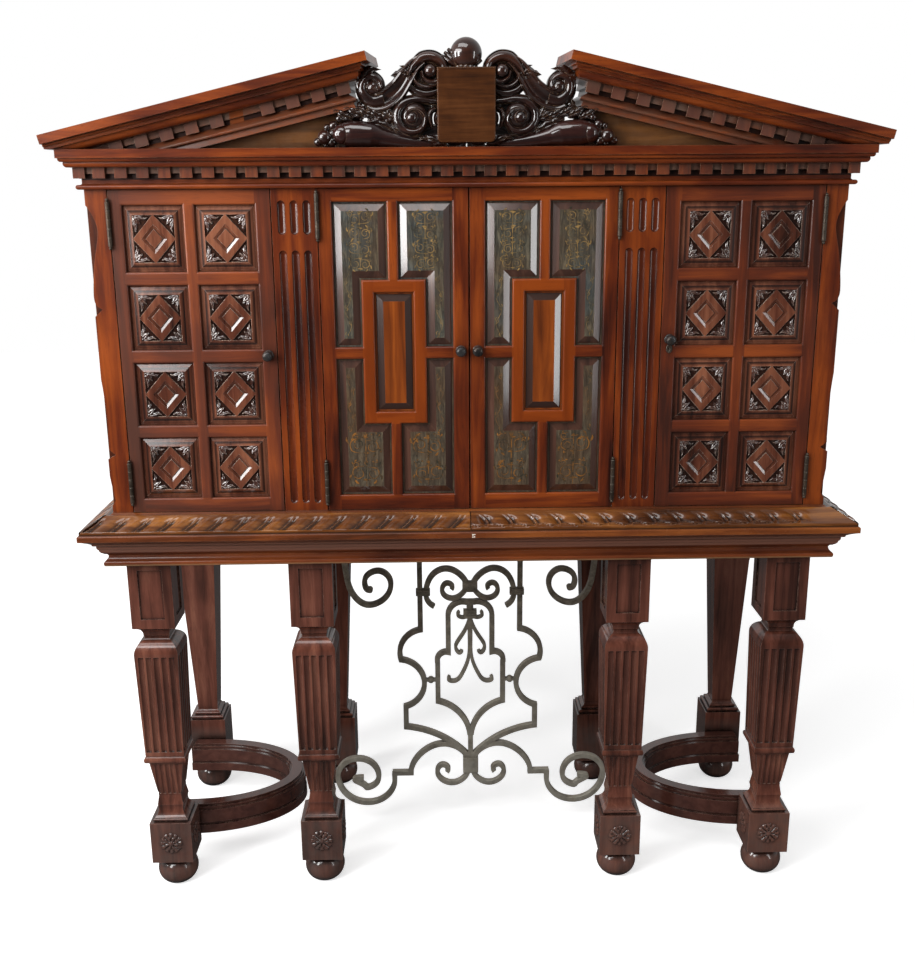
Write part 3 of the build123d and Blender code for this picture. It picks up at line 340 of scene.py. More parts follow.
class Look(Tree):
    """A material of nodes; x, y and z are the place on the object."""

    def __init__(self, name, roughness=0.4, metallic=0.0, coat=0.0, coat_ior=1.5, coat_rough=0.12):
        self.material = bpy.data.materials.new(name)
        self.material.use_nodes = True
        super().__init__(self.material.node_tree)
        self.shader = self.tree.nodes["Principled BSDF"].inputs
        constants = {"Roughness": roughness, "Metallic": metallic, "Coat Weight": coat, "Coat IOR": coat_ior,
                     "Coat Roughness": coat_rough, "Specular IOR Level": 0.18}
        for socket, value in constants.items():
            self.shader[socket].default_value = value
        self.where = self.node("TexCoord", {}, "Object")
        self.x, self.y, self.z = (self.node("SeparateXYZ", {0: self.where}, axis) for axis in "XYZ")

    def stretched(self, scale, turn=(0, 0, 0)):
        return self.node("Mapping", {"Vector": self.where, "Scale": scale, "Rotation": turn})

    def noise(self, scale, detail=4, rough=0.55, vector=None, warp=0.0):
        return self.node("TexNoise", {"Scale": scale, "Detail": detail, "Roughness": rough, "Distortion": warp,
                                      "Vector": vector or self.where}, "Fac")

    def ramp(self, value, *stops):
        """A colour ramp with the given (place, tone) stops."""
        made = self.node("ValToRGB", {0: value}, "Color")
        band = made.socket.node.color_ramp
        while len(band.elements) < len(stops):
            band.elements.new(0.5)
        for element, (place, tone) in zip(band.elements, stops):
            element.position = place
            element.color = rgba(tone)
        return made

    def patches(self, scale, detail, rough, *stops):
        """Noise sorted by the stops of a ramp."""
        return self.ramp(self.noise(scale, detail, rough), *stops)

    def mix(self, share, a, b):
        return self.node("Mix", {0: share, 6: a, 7: b}, 2, data_type="RGBA")

    def hollows(self, reach, samples=6):
        """Near 1 in corners and grooves, 0 on open faces."""
        return 1 - self.node("AmbientOcclusion", {"Distance": reach}, "AO", samples=samples)

    def edges(self, radius=0.0015, gain=5.0):
        """Near 1 along sharp edges."""
        soft = self.node("Bevel", {"Radius": radius}, samples=4)
        true = self.node("NewGeometry", {}, "Normal")
        match = self.node("VectorMath", {0: soft, 1: true}, "Value", operation="DOT_PRODUCT")
        return self.math("MULTIPLY", 1 - match, gain, clamp=True)

    def finish(self, colour, rough, height, strength, distance, soften=0.0012):
        """Sets colour, roughness and relief, and gives the material."""
        soft = self.node("Bevel", {"Radius": soften}, samples=4)
        relief = self.node("Bump", {"Strength": strength, "Distance": distance, "Height": height,
                                    "Normal": soft})
        for socket, value in (("Base Color", colour), ("Roughness", rough), ("Normal", relief)):
            self.put(value, self.shader[socket])
        return self.material


# ---- wood
# dark, middle and light tone of each timber
mahogany = ((0.030, 0.0068, 0.0042), (0.112, 0.0190, 0.0052), (0.27, 0.054, 0.0080))
dark_mahogany = ((0.042, 0.014, 0.009), (0.126, 0.040, 0.025), (0.23, 0.086, 0.053))
ring_wood = ((0.046, 0.016, 0.012), (0.078, 0.027, 0.019), (0.116, 0.043, 0.030))
brown_walnut = ((0.030, 0.013, 0.006), (0.095, 0.036, 0.014), (0.20, 0.080, 0.028))
orange_wood = ((0.085, 0.018, 0.004), (0.21, 0.044, 0.006), (0.36, 0.088, 0.011))
tympanum_wood = ((0.045, 0.018, 0.006), (0.12, 0.045, 0.012), (0.22, 0.085, 0.02))
plinth_wood = ((0.036, 0.012, 0.006), (0.135, 0.034, 0.010), (0.29, 0.084, 0.018))
gadroon_wood = ((0.035, 0.011, 0.004), (0.13, 0.040, 0.009), (0.36, 0.135, 0.028))
base_wood = ((0.036, 0.010, 0.006), (0.118, 0.026, 0.009), (0.26, 0.062, 0.015))
panel_wood = ((0.026, 0.009, 0.006), (0.105, 0.031, 0.017), (0.26, 0.095, 0.050))
sprig_wood = ((0.014, 0.006, 0.005), (0.045, 0.015, 0.010), (0.10, 0.034, 0.02))
rim_wood = ((0.026, 0.009, 0.006), (0.085, 0.026, 0.014), (0.20, 0.070, 0.038))
crest_wood = ((0.008, 0.004, 0.0035), (0.022, 0.008, 0.006), (0.060, 0.020, 0.011))
horn_wood = ((0.012, 0.005, 0.005), (0.032, 0.010, 0.008), (0.060, 0.019, 0.014))
plaque_wood = ((0.026, 0.009, 0.004), (0.062, 0.020, 0.006), (0.115, 0.040, 0.012))
# pale edge tint of the legs and rings, partly a painted highlight
leg_rub = (0.34, 0.20, 0.15)
grain_scales = {"x": (5, 70, 70), "y": (70, 5, 70), "z": (70, 70, 5)}


def grain(look, direction):
    """Long streaks and fine pores of timber, as two 0..1 values."""
    wide, fine = (look.stretched(tuple(s * size for s in grain_scales[direction])) for size in (0.55, 6))
    return look.noise(1, 5, 0.6, wide, warp=0.6), look.noise(1, 3, 0.7, fine)


def varnish(look, wood, direction="z", across=None, dust=0.0, wear=0.35, dirt=0.75, rough=(0.22, 0.42),
            patch=None, soften=0.0012, tone=0.0, rub=(0.42, 0.24, 0.14), tight_reach=0.005):
    """Old varnished timber: streaked grain, corners darkened by dirty varnish and painted shade, pale edges
    partly rubbed through and partly a painted highlight, uneven gloss.

    across is 1 where the grain runs along X instead; patch is a share and a tint laid over the grain.
    """
    streaks, pores = grain(look, direction)
    if across is not None:
        streaks, pores = (look.mix(across, a, b) for a, b in zip((streaks, pores), grain(look, "x")))
    shade = streaks + (look.noise(3.5, 3, 0.5) * 0.8 + (tone - 0.4))
    if across is not None:
        shade = across * 0.05 + shade
    colour = look.ramp(shade, *zip((0.28, 0.5, 0.76), wood))
    colour = look.mix(look.ramp(pores, (0.56, 0), (0.74, 0.45)), colour, wood[0])
    if patch is not None:
        colour = look.mix(patch[0], colour, patch[1])
    # dirty varnish and painted shade: darker in corners and grooves
    grime_and_shade = look.hollows(0.022) * dirt | look.hollows(tight_reach, 4) * (1.3 * dirt)
    colour = look.mix(grime_and_shade, colour, (0.009, 0.004, 0.003))
    if dust:
        film = look.patches(24, 5, 0.7, (0.3, 0), (0.7, 1))
        colour = look.mix(film * dust, colour, (0.25, 0.19, 0.14))
    # pale edges: partly rubbed through, partly a painted highlight
    rubbed = look.edges() * look.patches(60, 4, 0.7, (0.38, 0), (0.62, 1))
    colour = look.mix(rubbed * wear, colour, rub)
    gloss = look.noise(9, 4, 0.6) * (rough[1] - rough[0]) + rough[0]
    return look.finish(colour, gloss, pores, 0.12, 0.0006, soften)


def plain_wood(name, wood, direction, coat=0.35, coat_ior=1.5, coat_rough=0.12, **settings):
    """One timber whose grain runs one way, without anything that depends on the place."""
    return varnish(Look(name, coat=coat, coat_ior=coat_ior, coat_rough=coat_rough), wood, direction, **settings)


def outer_doors():
    """Grain across on the rails, and a pale painted reflection on the left door."""
    look = Look("outer_doors", coat=0.35)
    x, z = abs(look.x), look.z
    in_columns = sum(x.within(*column) for column in outer_columns)
    in_rows = sum(z.within(*row) for row in outer_rows)
    rails = in_columns * (1 - in_rows) | x.within(*outer_x) * (1 - z.within(*outer_z))
    # painted reflection: a pale haze, strongest at the left
    painted_sheen = look.ramp(look.x + 1.0, (0.2, 0.34), (0.7, 0.10))
    return varnish(look, mahogany, across=rails, patch=(painted_sheen, (0.175, 0.080, 0.056)),
                   tone=door_light_and_shade(look, outer_low, outer_high, 0.02))


def centre_doors():
    """Grain across on the rails and the inner frame's ends, and that frame more orange."""
    look = Look("centre_doors", coat=0.45)
    x, z = abs(look.x), look.z
    middle = sum(centre_z) / 2
    between = x.within(*centre_x)
    in_frame = x.within(*frame_x)
    ends = between * (1 - z.within(*centre_z))
    rail = z.within(middle - rail_half, middle + rail_half) * (1 - in_frame) * between
    inner_ends = x.within(*tall_x) * (z.within(*frame_z) - z.within(*tall_z))
    orange = in_frame * z.within(*frame_z) * 0.55
    return varnish(look, mahogany, across=rail | inner_ends | ends, patch=(orange, (0.23, 0.040, 0.003)),
                   tone=door_light_and_shade(look, centre_low, centre_high, 0.07))


def door_light_and_shade(look, low, high, most):
    """Painted light and shade: doors lighter in their middle, darker towards their stiles and their foot."""
    share = abs(abs(look.x) - (low.x + high.x) / 2) / ((high.x - low.x) / 2)
    rim = look.ramp(share, (0.62, 0), (0.98, 1))
    foot = look.ramp((look.z - low.z) / (high.z - low.z), (0.0, 0.9), (0.5, 0))
    return most - (rim + foot) * 0.09


def face_frame():
    """Stiles and pilasters, with painted shade in the scalloped cuts."""
    look = Look("face_frame", coat=0.45)
    depth = look.y - face_y
    # painted shade on the floor of the scalloped cuts
    cut = (depth > 0.006) * (depth < 0.0135) * 0.6
    return varnish(look, mahogany, patch=(cut, (0.030, 0.010, 0.006)), tone=(abs(look.x) > 0.6) * 0.05 + 0.05)


def cornice():
    """Bright mouldings, dusty strip behind the dentils, painted shade in the slot under it, pale bed of a lost
    dentil.
    """
    look = Look("cornice", coat=0.45)
    sloped = look.z > cornice_top + 0.002
    level = 1 - sloped
    # how far a place lies under the top of the raking cornice, square to it
    under = (rake_z - (abs(look.x) - rake_x) * rake_fall - look.z) * rake_cos
    foot = cornice_top - 0.078
    boards = sloped * (under > 0.066)
    strip = sloped * under.within(0.043, 0.0555) + level * look.z.within(foot + 0.031, foot + 0.0434)
    # painted shade: the slot under the strip is made near-black
    slot = sloped * under.within(0.0557, 0.065) + level * look.z.within(foot + 0.019, foot + 0.0308)
    lost = sloped * look.x.within(-0.480, -0.452) * under.within(0.043, 0.065)
    streaks = look.noise(1, 5, 0.75, look.stretched((26, 60, 120)))
    dusty = look.ramp(streaks, (0.34, 0.2), (0.62, 0.8))
    share = look.mix(strip, boards * dusty, look.patches(24, 2, 0.5, (0.35, 0.35), (0.65, 0.85)))
    share = look.mix(slot | lost, share, 0.9)
    tint = look.mix(strip, (0.125, 0.060, 0.038), (0.21, 0.135, 0.10))
    # near-black painted shade in the slot
    tint = look.mix(slot, tint, (0.012, 0.006, 0.005))
    tint = look.mix(lost, tint, (0.26, 0.060, 0.012))
    return varnish(look, mahogany, "x", patch=(share, tint), wear=0.5, tone=sloped * 0.05 + 0.04)


def dentils():
    """Red-brown dentils, dull and dusty on the slopes."""
    look = Look("dentils", coat=0.25)
    sloped = look.z > cornice_top + 0.001
    pale = look.mix(look.noise(19, 1, 0.5), (0.10, 0.030, 0.020), (0.20, 0.095, 0.068))
    return varnish(look, mahogany, dust=0.12, patch=(sloped * 0.5 + 0.12, pale), wear=0.9, rough=(0.3, 0.5),
                   dirt=0.9)


def carved_panels():
    """Lozenge panels: painted shade on the sunk ground; rubbed carving, its pale edges partly a painted
    highlight.
    """
    look = Look("carved_panels", coat=0.9)
    depth = look.y - face_y
    # painted shade on the sunk ground behind the lozenges
    ground = look.ramp(depth * 100, (0.26, 0), (0.42, 1)) * (depth < 0.0055)
    # the pale edge tint on the carving is partly a painted highlight
    return varnish(look, panel_wood, wear=1.0, dirt=0.95, rough=(0.14, 0.28), tone=0.03, rub=(0.62, 0.46, 0.36),
                   patch=(ground * 0.82, (0.010, 0.005, 0.004)))


def plaque():
    """Walnut plaque with a slightly turned figure."""
    look = Look("plaque", coat=0.25)
    figure = look.noise(1, 6, 0.6, look.stretched((6, 60, 130), (0, radians(6), 0)), warp=0.6)
    shade = look.noise(16, 3, 0.6) * 0.5 + (figure * 0.7 - 0.1)
    colour = look.ramp(shade, *zip((0.3, 0.5, 0.74), plaque_wood))
    colour = look.mix(look.edges() * 0.5, colour, (0.3, 0.17, 0.08))
    pores = look.noise(1, 3, 0.7, look.stretched((40, 400, 400)))
    return look.finish(colour, 0.3, pores, 0.1, 0.0005, 0.0025)


def carved_plinth():
    """Ground of the plinth, with the white chip in the middle of its foot."""
    look = Look("carved_plinth", coat=0.5)
    spot = look.x.within(0.002, 0.010) * look.z.within(plinth_low.z + 0.001, plinth_low.z + 0.0095)
    chip = spot * look.patches(260, 2, 0.5, (0.47, 0), (0.5, 0.95))
    return varnish(look, plinth_wood, "x", wear=0.7, dirt=1.0, rough=(0.2, 0.36), tone=0.05,
                   patch=(chip, (0.72, 0.66, 0.58)))


def gadroons():
    """Carved skin of the plinth, with painted shade and soiling in the grooves, which lie under the lobes."""
    look = Look("gadroons", coat=1.0)
    beyond = slope_low.y - look.y | abs(look.x) - plinth_reach
    proud = (look.z - slope_low.z) * slope_up + beyond * slope_out
    # painted shade and soiling: near-black where the skin sinks into the grooves
    cut = look.ramp(proud / gadroon_depth, (0.10, 1), (0.62, 0))
    # the right half is darker in tone: painted shade
    return varnish(look, gadroon_wood, "x", wear=0.9, dirt=0.8, rough=(0.12, 0.26),
                   patch=(cut * 0.88, (0.018, 0.009, 0.006)), tone=(look.x > 0.0) * -0.12 + 0.03)


def legs():
    """Dull mahogany, sunk panels redder, foot blocks grey with dust."""
    look = Look("legs", coat=0.9)
    low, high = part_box("leg_front_outer_right")
    sunk = (look.y - low.y).within(0.0026, 0.0034) * (look.z > high.z - 0.17)
    film = look.patches(30, 5, 0.7, (0.3, 0.35), (0.7, 0.9))
    dusty = look.ramp(look.z, (0.17, 1), (0.20, 0)) * (film * 0.75)
    tint = look.mix(sunk, (0.088, 0.064, 0.056), (0.125, 0.030, 0.013))
    # pale edges partly a painted highlight; the flutes darkened by dirty varnish and painted shade
    return varnish(look, dark_mahogany, wear=0.9, dirt=1.5, patch=(look.mix(sunk, dusty, 0.7), tint),
                   tight_reach=0.010, rough=(0.16, 0.32), rub=leg_rub)


def base():
    """Bright frieze and nosing, dark and dull cove between them."""
    look = Look("base", coat=0.6)
    low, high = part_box("base_frame")
    cove = look.z.within(low.z + 0.011, high.z - 0.012)
    frieze = look.z < low.z + 0.004
    pale = look.z < low.z - 0.0185
    patch = (cove * 0.75 + pale * 0.5, look.mix(pale, (0.23, 0.10, 0.066), (0.30, 0.18, 0.085)))
    return varnish(look, base_wood, "x", patch=patch, tone=cove * -0.08 + (frieze * 0.05 + 0.03), wear=0.6,
                   dirt=0.9)


# ---- paint and metal
def painted_panels():
    """Worn green-black paint on the L-shaped fields, mahogany in the tall panel."""
    look = Look("painted_panels", coat=1.0, coat_ior=1.65)
    tall = abs(look.x).within(*tall_x) * look.z.within(*tall_z)
    normal = look.node("NewGeometry", {}, "Normal")
    field = look.node("SeparateXYZ", {0: normal}, "Y") < -0.975
    streaks = grain(look, "z")[0]
    wood = look.ramp(look.noise(3, 3) * 0.5 + (streaks - 0.25), *zip((0.3, 0.52, 0.75), orange_wood))
    bevel = look.ramp(streaks, (0.3, (0.022, 0.010, 0.007)), (0.6, (0.07, 0.028, 0.017)),
                      (0.8, (0.13, 0.06, 0.038)))
    scratch = look.noise(1, 6, 0.75, look.stretched((150, 150, 22)), warp=0.8)
    paint = look.ramp(scratch, (0.32, (0.012, 0.012, 0.009)), (0.50, (0.052, 0.052, 0.040)),
                      (0.68, (0.17, 0.15, 0.10)))
    paint = look.mix(look.patches(150, 5, 0.75, (0.56, 0), (0.68, 0.5)), paint, (0.15, 0.11, 0.055))
    lower = look.z < sum(tall_z) / 2
    brown = lower * 0.25 + look.patches(14, 4, 0.6, (0.4, 0.15), (0.7, 0.7))
    brown_paint = look.ramp(scratch, (0.35, (0.045, 0.024, 0.011)), (0.65, (0.110, 0.060, 0.028)))
    blue = look.patches(11, 3, 0.6, (0.48, 0), (0.66, 0.55)) * (1 - lower)
    blue_paint = look.ramp(scratch, (0.35, (0.020, 0.032, 0.038)), (0.65, (0.085, 0.110, 0.115)))
    paint = look.mix(blue, look.mix(brown, paint, brown_paint), blue_paint)
    ell = look.mix(field, bevel, paint)
    colour = look.mix(tall, ell, look.mix(1 - field, wood, (0.035, 0.014, 0.009)))
    # painted shade: darker in corners and grooves
    colour = look.mix(look.hollows(0.014) * 0.8, colour, (0.009, 0.006, 0.005))
    rubbed = look.edges(0.0018, 7) * look.patches(70, 4, 0.7, (0.35, 0), (0.6, 1))
    colour = look.mix(rubbed * 0.55, colour, (0.30, 0.17, 0.10))
    return look.finish(colour, look.mix(field * (1 - tall), 0.3, 0.62), scratch, 0.22, 0.0006)


def gilt(name, tone):
    """Worn gold tracery that the dark ground shows through."""
    look = Look(name, metallic=0.25)
    dull = look.patches(240, 3, 0.6, (0.3, tuple(0.5 * c for c in tone)), (0.7, tone))
    colour = look.mix(look.patches(60, 5, 0.8, (0.40, 0), (0.58, 1)), dull, (0.035, 0.034, 0.024))
    return look.finish(colour, 0.45, look.noise(300, 2), 0.3, 0.0003, 0.0002)


def iron(name, dark, pale, rough=0.55, bump=0.5, fade=False):
    """Hammered iron, brown patina, rubbed edges; fade adds painted light near the floor: pale patches, the
    higher bars left darker as if in shade.
    """
    look = Look(name, metallic=0.55)
    patina = look.noise(38, 5, 0.65)
    fine = look.noise(260, 4, 0.7)
    middle = tuple((a + b) / 2 for a, b in zip(dark, pale))
    colour = look.ramp(fine * 0.35 + (patina - 0.17), (0.3, dark), (0.55, middle), (0.78, pale))
    colour = look.mix(look.patches(17, 4, 0.6, (0.56, 0), (0.72, 0.6)), colour, (0.085, 0.045, 0.022))
    colour = look.mix(look.edges(0.002, 6) * 0.4, colour, (0.42, 0.39, 0.33))
    # painted light: paler patches towards the floor, the upper bars left darker as in shade
    if fade:
        low = look.ramp(look.z, (0.12, 0.7), (0.34, 0.45), (0.66, 0))
        painted_light_patches = look.patches(22, 5, 0.7, (0.35, 0.35), (0.6, 1))
        colour = look.mix(low * painted_light_patches, colour, (0.52, 0.49, 0.42))
    colour = look.mix(look.hollows(0.01) * 0.6, colour, (0.02, 0.017, 0.013))
    return look.finish(colour, patina * 0.3 + (rough - 0.15), patina + fine * 0.3, bump, 0.0012, 0.0032)


inside = {"coat": 0.0, "rough": (0.5, 0.7)}
crest_gloss = {"coat": 1.0, "coat_ior": 1.75, "coat_rough": 0.06, "rough": (0.2, 0.4)}
looks = {
    "outer_doors": outer_doors(),
    "centre_doors": centre_doors(),
    "face_frame": face_frame(),
    # the flutes: a darker copy of the face frame's mahogany, as painted shade in the troughs
    "flutes": plain_wood("flutes", mahogany, "z", 0.6, tone=-0.1, dirt=1.0, wear=0.0, rough=(0.18, 0.34)),
    "carcass": plain_wood("carcass", brown_walnut, "z", **inside),
    "shelves": plain_wood("shelves", brown_walnut, "x", **inside),
    "legs": legs(),
    "rings": plain_wood("rings", ring_wood, "y", 1.0, wear=0.9, dirt=1.1, rough=(0.14, 0.26), rub=leg_rub,
                        tight_reach=0.009),
    "base": base(),
    "plinth": carved_plinth(),
    "gadroons": gadroons(),
    "cornice": cornice(),
    "dentils": dentils(),
    "tympanum": plain_wood("tympanum", tympanum_wood, "x", 0.1, dust=0.12),
    "crest": plain_wood("crest_carving", crest_wood, "x", wear=0.5, dirt=0.95, soften=0.0008, **crest_gloss),
    "horn": plain_wood("crest_horn", horn_wood, "x", wear=0.2, dirt=0.9, **crest_gloss),
    "plaque": plaque(),
    "panels": carved_panels(),
    "sprigs": plain_wood("carved_sprigs", sprig_wood, "z", 1.0, 1.9, wear=0.9, dirt=0.7, rough=(0.1, 0.22),
                         soften=0.0004, rub=(0.50, 0.40, 0.33)),
    "rims": plain_wood("lozenge_rims", rim_wood, "z", 0.8, 1.65, wear=0.5, dirt=0.35, rough=(0.12, 0.25),
                       soften=0.0003),
    "painted": painted_panels(),
    "gold": gilt("gilding", (0.46, 0.28, 0.095)),
    "bronze": gilt("bronze_paint", (0.42, 0.17, 0.035)),
    "iron": iron("wrought_iron", (0.105, 0.088, 0.066), (0.42, 0.36, 0.28), fade=True),
    "hinges": iron("hinge_iron", (0.022, 0.016, 0.012), (0.11, 0.085, 0.065), 0.35, 0.2),
    "pulls": iron("pull_metal", (0.020, 0.020, 0.021), (0.085, 0.085, 0.085), 0.25, 0.08),
}

# the materials that CAD nodes wear, by the starts of their names; the first that fits counts
wearers = {
    "panels": ("door_1_panels", "door_4_panels"), "painted": ("door_2_panels", "door_3_panels"),
    "outer_doors": ("door_1_frame", "door_4_frame"), "centre_doors": ("door_2_frame", "door_3_frame"),
    "legs": ("leg_", "bun_"), "rings": ("ring_",), "base": ("stand_top", "base_frame"),
    "plinth": ("carved_plinth",), "dentils": ("cornice_dentils", "raking_dentils"),
    "cornice": ("cornice", "raking_cornice"), "tympanum": ("tympanum",), "crest": ("crest", "finial"),
    "plaque": ("plaque",), "iron": ("iron_",), "hinges": ("hinge_", "lock_"),
    "face_frame": ("stile", "pilaster"), "shelves": ("shelves", "bottom_board", "top_board"),
}


def look_for(name):
    """Which material a CAD node wears."""
    if name.endswith("hinge_leaves"):
        return "hinges"
    if name.endswith("knob"):
        return "pulls"
    return next((look for look, starts in wearers.items() if name.startswith(starts)), "carcass")


for name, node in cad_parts.items():
    for slot in node.material_slots:
        slot.material = looks[look_for(name)]
    if not node.material_slots:
        node.data.materials.append(looks[look_for(name)])


# ---- carved plinth
def gadroon_height(run, v, right):
    """Height of the carved skin at share v of the way up the slope."""
    edge = ease(skin_from, skin_from + 0.04, v) * (1 - ease(skin_to - 0.08, skin_to, v))
    s = (v - carved_from) / (carved_to - carved_from)
    lean = lean_right * (s + 0.1 * sin(2 * pi * s)) if right else lean_left * s
    g = (run + lean) / gadroon_pitch % 1  # a fillet round 0.1 and a lobe from 0.22 to 1
    across = min(max((g - 0.61) / 0.39, -1), 1)
    level = max(1.0 - 0.92 * across**2, 0.72 * bell(g, 0.1, 0.05), 0.06)
    foot, dip, rim, fade = 0.04, 0.0, 0.0, 1
    if right:
        # the lobes of the right half have a round foot with a dip and a rim, and end before the corner
        foot = 0.12 + 0.2 * across**2
        dip, rim = bell(s, foot, 0.05), bell(s, foot - 0.08, 0.035)
        fade = 1 - ease(plinth_high.x - 0.125, plinth_high.x - 0.085, run)
    carved = ease(foot - 0.04, foot + 0.04, s) * (1 - ease(0.6, 1.04, s))
    level = 1 - fade * (max((1 - level) * carved, 0.5 * dip) - 0.3 * rim)
    return edge * gadroon_depth * level + 0.15 * MM


def slope_skin(start, end, place, right):
    """Grid of a carved slope: place(run, v, height) gives the point."""
    skin = Carving()
    count, steps_up = int(abs(end - start) / (2 * MM)), 30
    rows = []
    for i in range(count + 1):
        run = start + (end - start) * (i / count)
        shares = (skin_from + (skin_to - skin_from) * j / steps_up for j in range(steps_up + 1))
        rows.append([place(run, v, gadroon_height(run, v, right)) for v in shares])
    skin.grid(rows)
    return skin


def on_slope(v, height):
    """How far a place stands out from the slope's foot, and its z."""
    return height * slope_out - slope_run * v, slope_low.z + slope_rise * v + height * slope_up


def front_place(run, v, height):
    """Runs stop at the mitre, which moves in as the slope climbs."""
    out, z = on_slope(v, height)
    reach = plinth_reach - slope_run * v - 0.5 * MM
    return max(min(run, reach), -reach), slope_low.y - out, z


def side_place(sign):
    def place(run, v, height):
        out, z = on_slope(v, height)
        return sign * (plinth_reach + out), max(run, slope_low.y + slope_run * v + 0.5 * MM), z
    return place


def carve_plinth():
    for name, start, end in (("left", -plinth_reach, -1 * MM), ("right", 1 * MM, plinth_reach)):
        skin = slope_skin(start, end, front_place, name == "right")
        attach(skin.make(f"plinth_gadroons_{name}", looks["gadroons"], 60), "cabinet")
    for name, sign in (("left", -1), ("right", 1)):
        skin = slope_skin(slope_low.y, plinth_high.y - 1 * MM, side_place(sign), sign > 0)
        if sign < 0:
            skin.flip()
        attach(skin.make(f"plinth_side_gadroons_{name}", looks["gadroons"], 60), "cabinet")


# ---- lozenge panels
panel_bevel_inset = 19.3 * MM


def corner_sprig(wide, tall):
    """Three leaves that spread from the panel's corner at (wide, tall)."""
    sprig = Carving()
    for path, width, lobes, lift, curl in (
        (((0.93, 0.93), (0.78, 0.76), (0.60, 0.60)), 15, 2, 4.2, 0.6),
        (((0.93, 0.93), (0.70, 0.92), (0.44, 0.86), (0.27, 0.91)), 11, 3, 3.6, 0.8),
        (((0.93, 0.93), (0.92, 0.70), (0.86, 0.44), (0.91, 0.27)), 11, 3, 3.6, 0.8),
    ):
        leaf(sprig, [(x * wide, z * tall) for x, z in path], width * MM, lobes, 0.2 * MM, lift * MM, curl * MM,
             ground_y, 16, 5)
    ball(sprig, (0.93 * wide, ground_y - 1.2 * MM, 0.93 * tall), 3.4 * MM, 0.9, rings=6, sides=10)
    return sprig


def sunk_rim(wide, tall):
    """Sloped walls of the sunk band inside a lozenge."""
    rim = Carving()
    corners = [(wide, 0), (0, tall), (-wide, 0), (0, -tall)]
    for wall in zip(corners, corners[1:] + corners[:1]):
        rim.grid([[(size * x, paint_y + sunk * MM, size * z) for x, z in wall]
                  for size, sunk in ((0.455, 1.85), (0.635, -0.06))])
    return rim


def carve_lozenge_panels():
    right, rims = Carving(), Carving()
    wide, tall = panel_wide / 2 - panel_bevel_inset, panel_tall / 2 - panel_bevel_inset
    sprig, rim = corner_sprig(wide, tall), sunk_rim(wide, tall)
    for z0, z1 in outer_rows:
        for x0, x1 in outer_columns:
            centre = Matrix.Translation(((x0 + x1) / 2, 0, (z0 + z1) / 2))
            rims.add(rim.moved(centre))
            for flip_x in (1, -1):
                for flip_z in (1, -1):
                    right.add(sprig.moved(centre @ Matrix.Diagonal((flip_x, 1, flip_z, 1))))
    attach(right.make("door_4_sprigs", looks["sprigs"], 50), "door_4")
    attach(right.mirrored(0).make("door_1_sprigs", looks["sprigs"], 50), "door_1")
    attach(rims.make("door_4_rims", looks["rims"]), "door_4")
    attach(rims.mirrored(0).make("door_1_rims", looks["rims"]), "door_1")


# ---- gilt tracery
def ribbon(carving, points, width, count=8):
    """Painted stroke, thickest in its middle."""
    edge_y, middle_y = paint_y - 0.12 * MM, paint_y - 0.3 * MM
    rows = []
    for t, p, side in stations(points, count):
        side = side * width * (0.25 + 0.75 * sin(pi * t)) / 2
        rows.append([(p.x - side.x, edge_y, p.y - side.y), (p.x, middle_y, p.y),
                     (p.x + side.x, edge_y, p.y + side.y)])
    carving.grid(rows)


def c_scroll(carving, x, z, radius, side, up, width):
    """Spiral that winds in on itself, with a leaf at its back."""
    def spot(reach, angle, rise=None):
        return x + side * (0.95 * radius + reach * cos(angle)), z + up * (rise or reach) * sin(angle)

    spiral = [spot(radius * (1 - 0.092 * step), radians(-110 + 62 * step)) for step in range(9)]
    ribbon(carving, [(x, z - 0.9 * radius * up)] + spiral, width, 44)
    for angle in (10, 60, 115):
        root = spot(radius, radians(angle))
        tip = spot(1.5 * radius, radians(angle) + 0.5, 1.45 * radius)
        middle = ((root[0] + tip[0]) / 2 + side * 0.1 * radius, (root[1] + tip[1]) / 2)
        ribbon(carving, [root, middle, tip], width * 1.9)


def scroll_column(carving, x0, x1, z0, z1, rows, width):
    """Mirrored pairs of scrolls stacked up one field."""
    middle, half = (x0 + x1) / 2, (x1 - x0) / 2
    pitch = (z1 - z0) / rows
    radius = min(half * 0.5, pitch * 0.42)
    ribbon(carving, [(middle, z0), (middle, (z0 + z1) / 2), (middle, z1)], width, 28)
    for row in range(rows):
        z = z0 + (row + 0.5) * pitch
        for side in (-1, 1):
            stray = sin(5 * row + 40 * x0 + 2 * side)
            up = 1 if stray > 0 else -1
            c_scroll(carving, middle, z + 2.5 * MM * stray, radius * (0.9 + 0.12 * stray), side, up, width)
            small_x, small_z = middle + side * 0.35 * half, z + 0.3 * pitch
            c_scroll(carving, small_x, small_z, radius * 0.42, side, -up, 0.7 * width)
        tips = [(middle + x * MM, z + rise * pitch) for x, rise in ((-4, 0.45), (0, 0.3), (4, 0.45))]
        ribbon(carving, tips, width * 1.5)


def vine(carving, x0, x1, z0, z1, width):
    """Wavy stem with short side leaves up a narrow field."""
    middle, swing = (x0 + x1) / 2, (x1 - x0) * 0.3
    turns = max(2, round((z1 - z0) / (26 * MM)))
    bends = [(middle + swing * (-1) ** i, z0 + (z1 - z0) * i / turns) for i in range(turns + 1)]
    ribbon(carving, bends, width, turns * 10)
    for i, (x, z) in enumerate(bends[:-1]):
        away = -1 if i % 2 else 1
        for size, steps in ((1.6, ((0, 0), (-5, 5), (-3, 10))), (1.3, ((0, 6), (1.5, 11), (-2, 14)))):
            ribbon(carving, [(x + away * out * MM, z + rise * MM) for out, rise in steps], width * size)


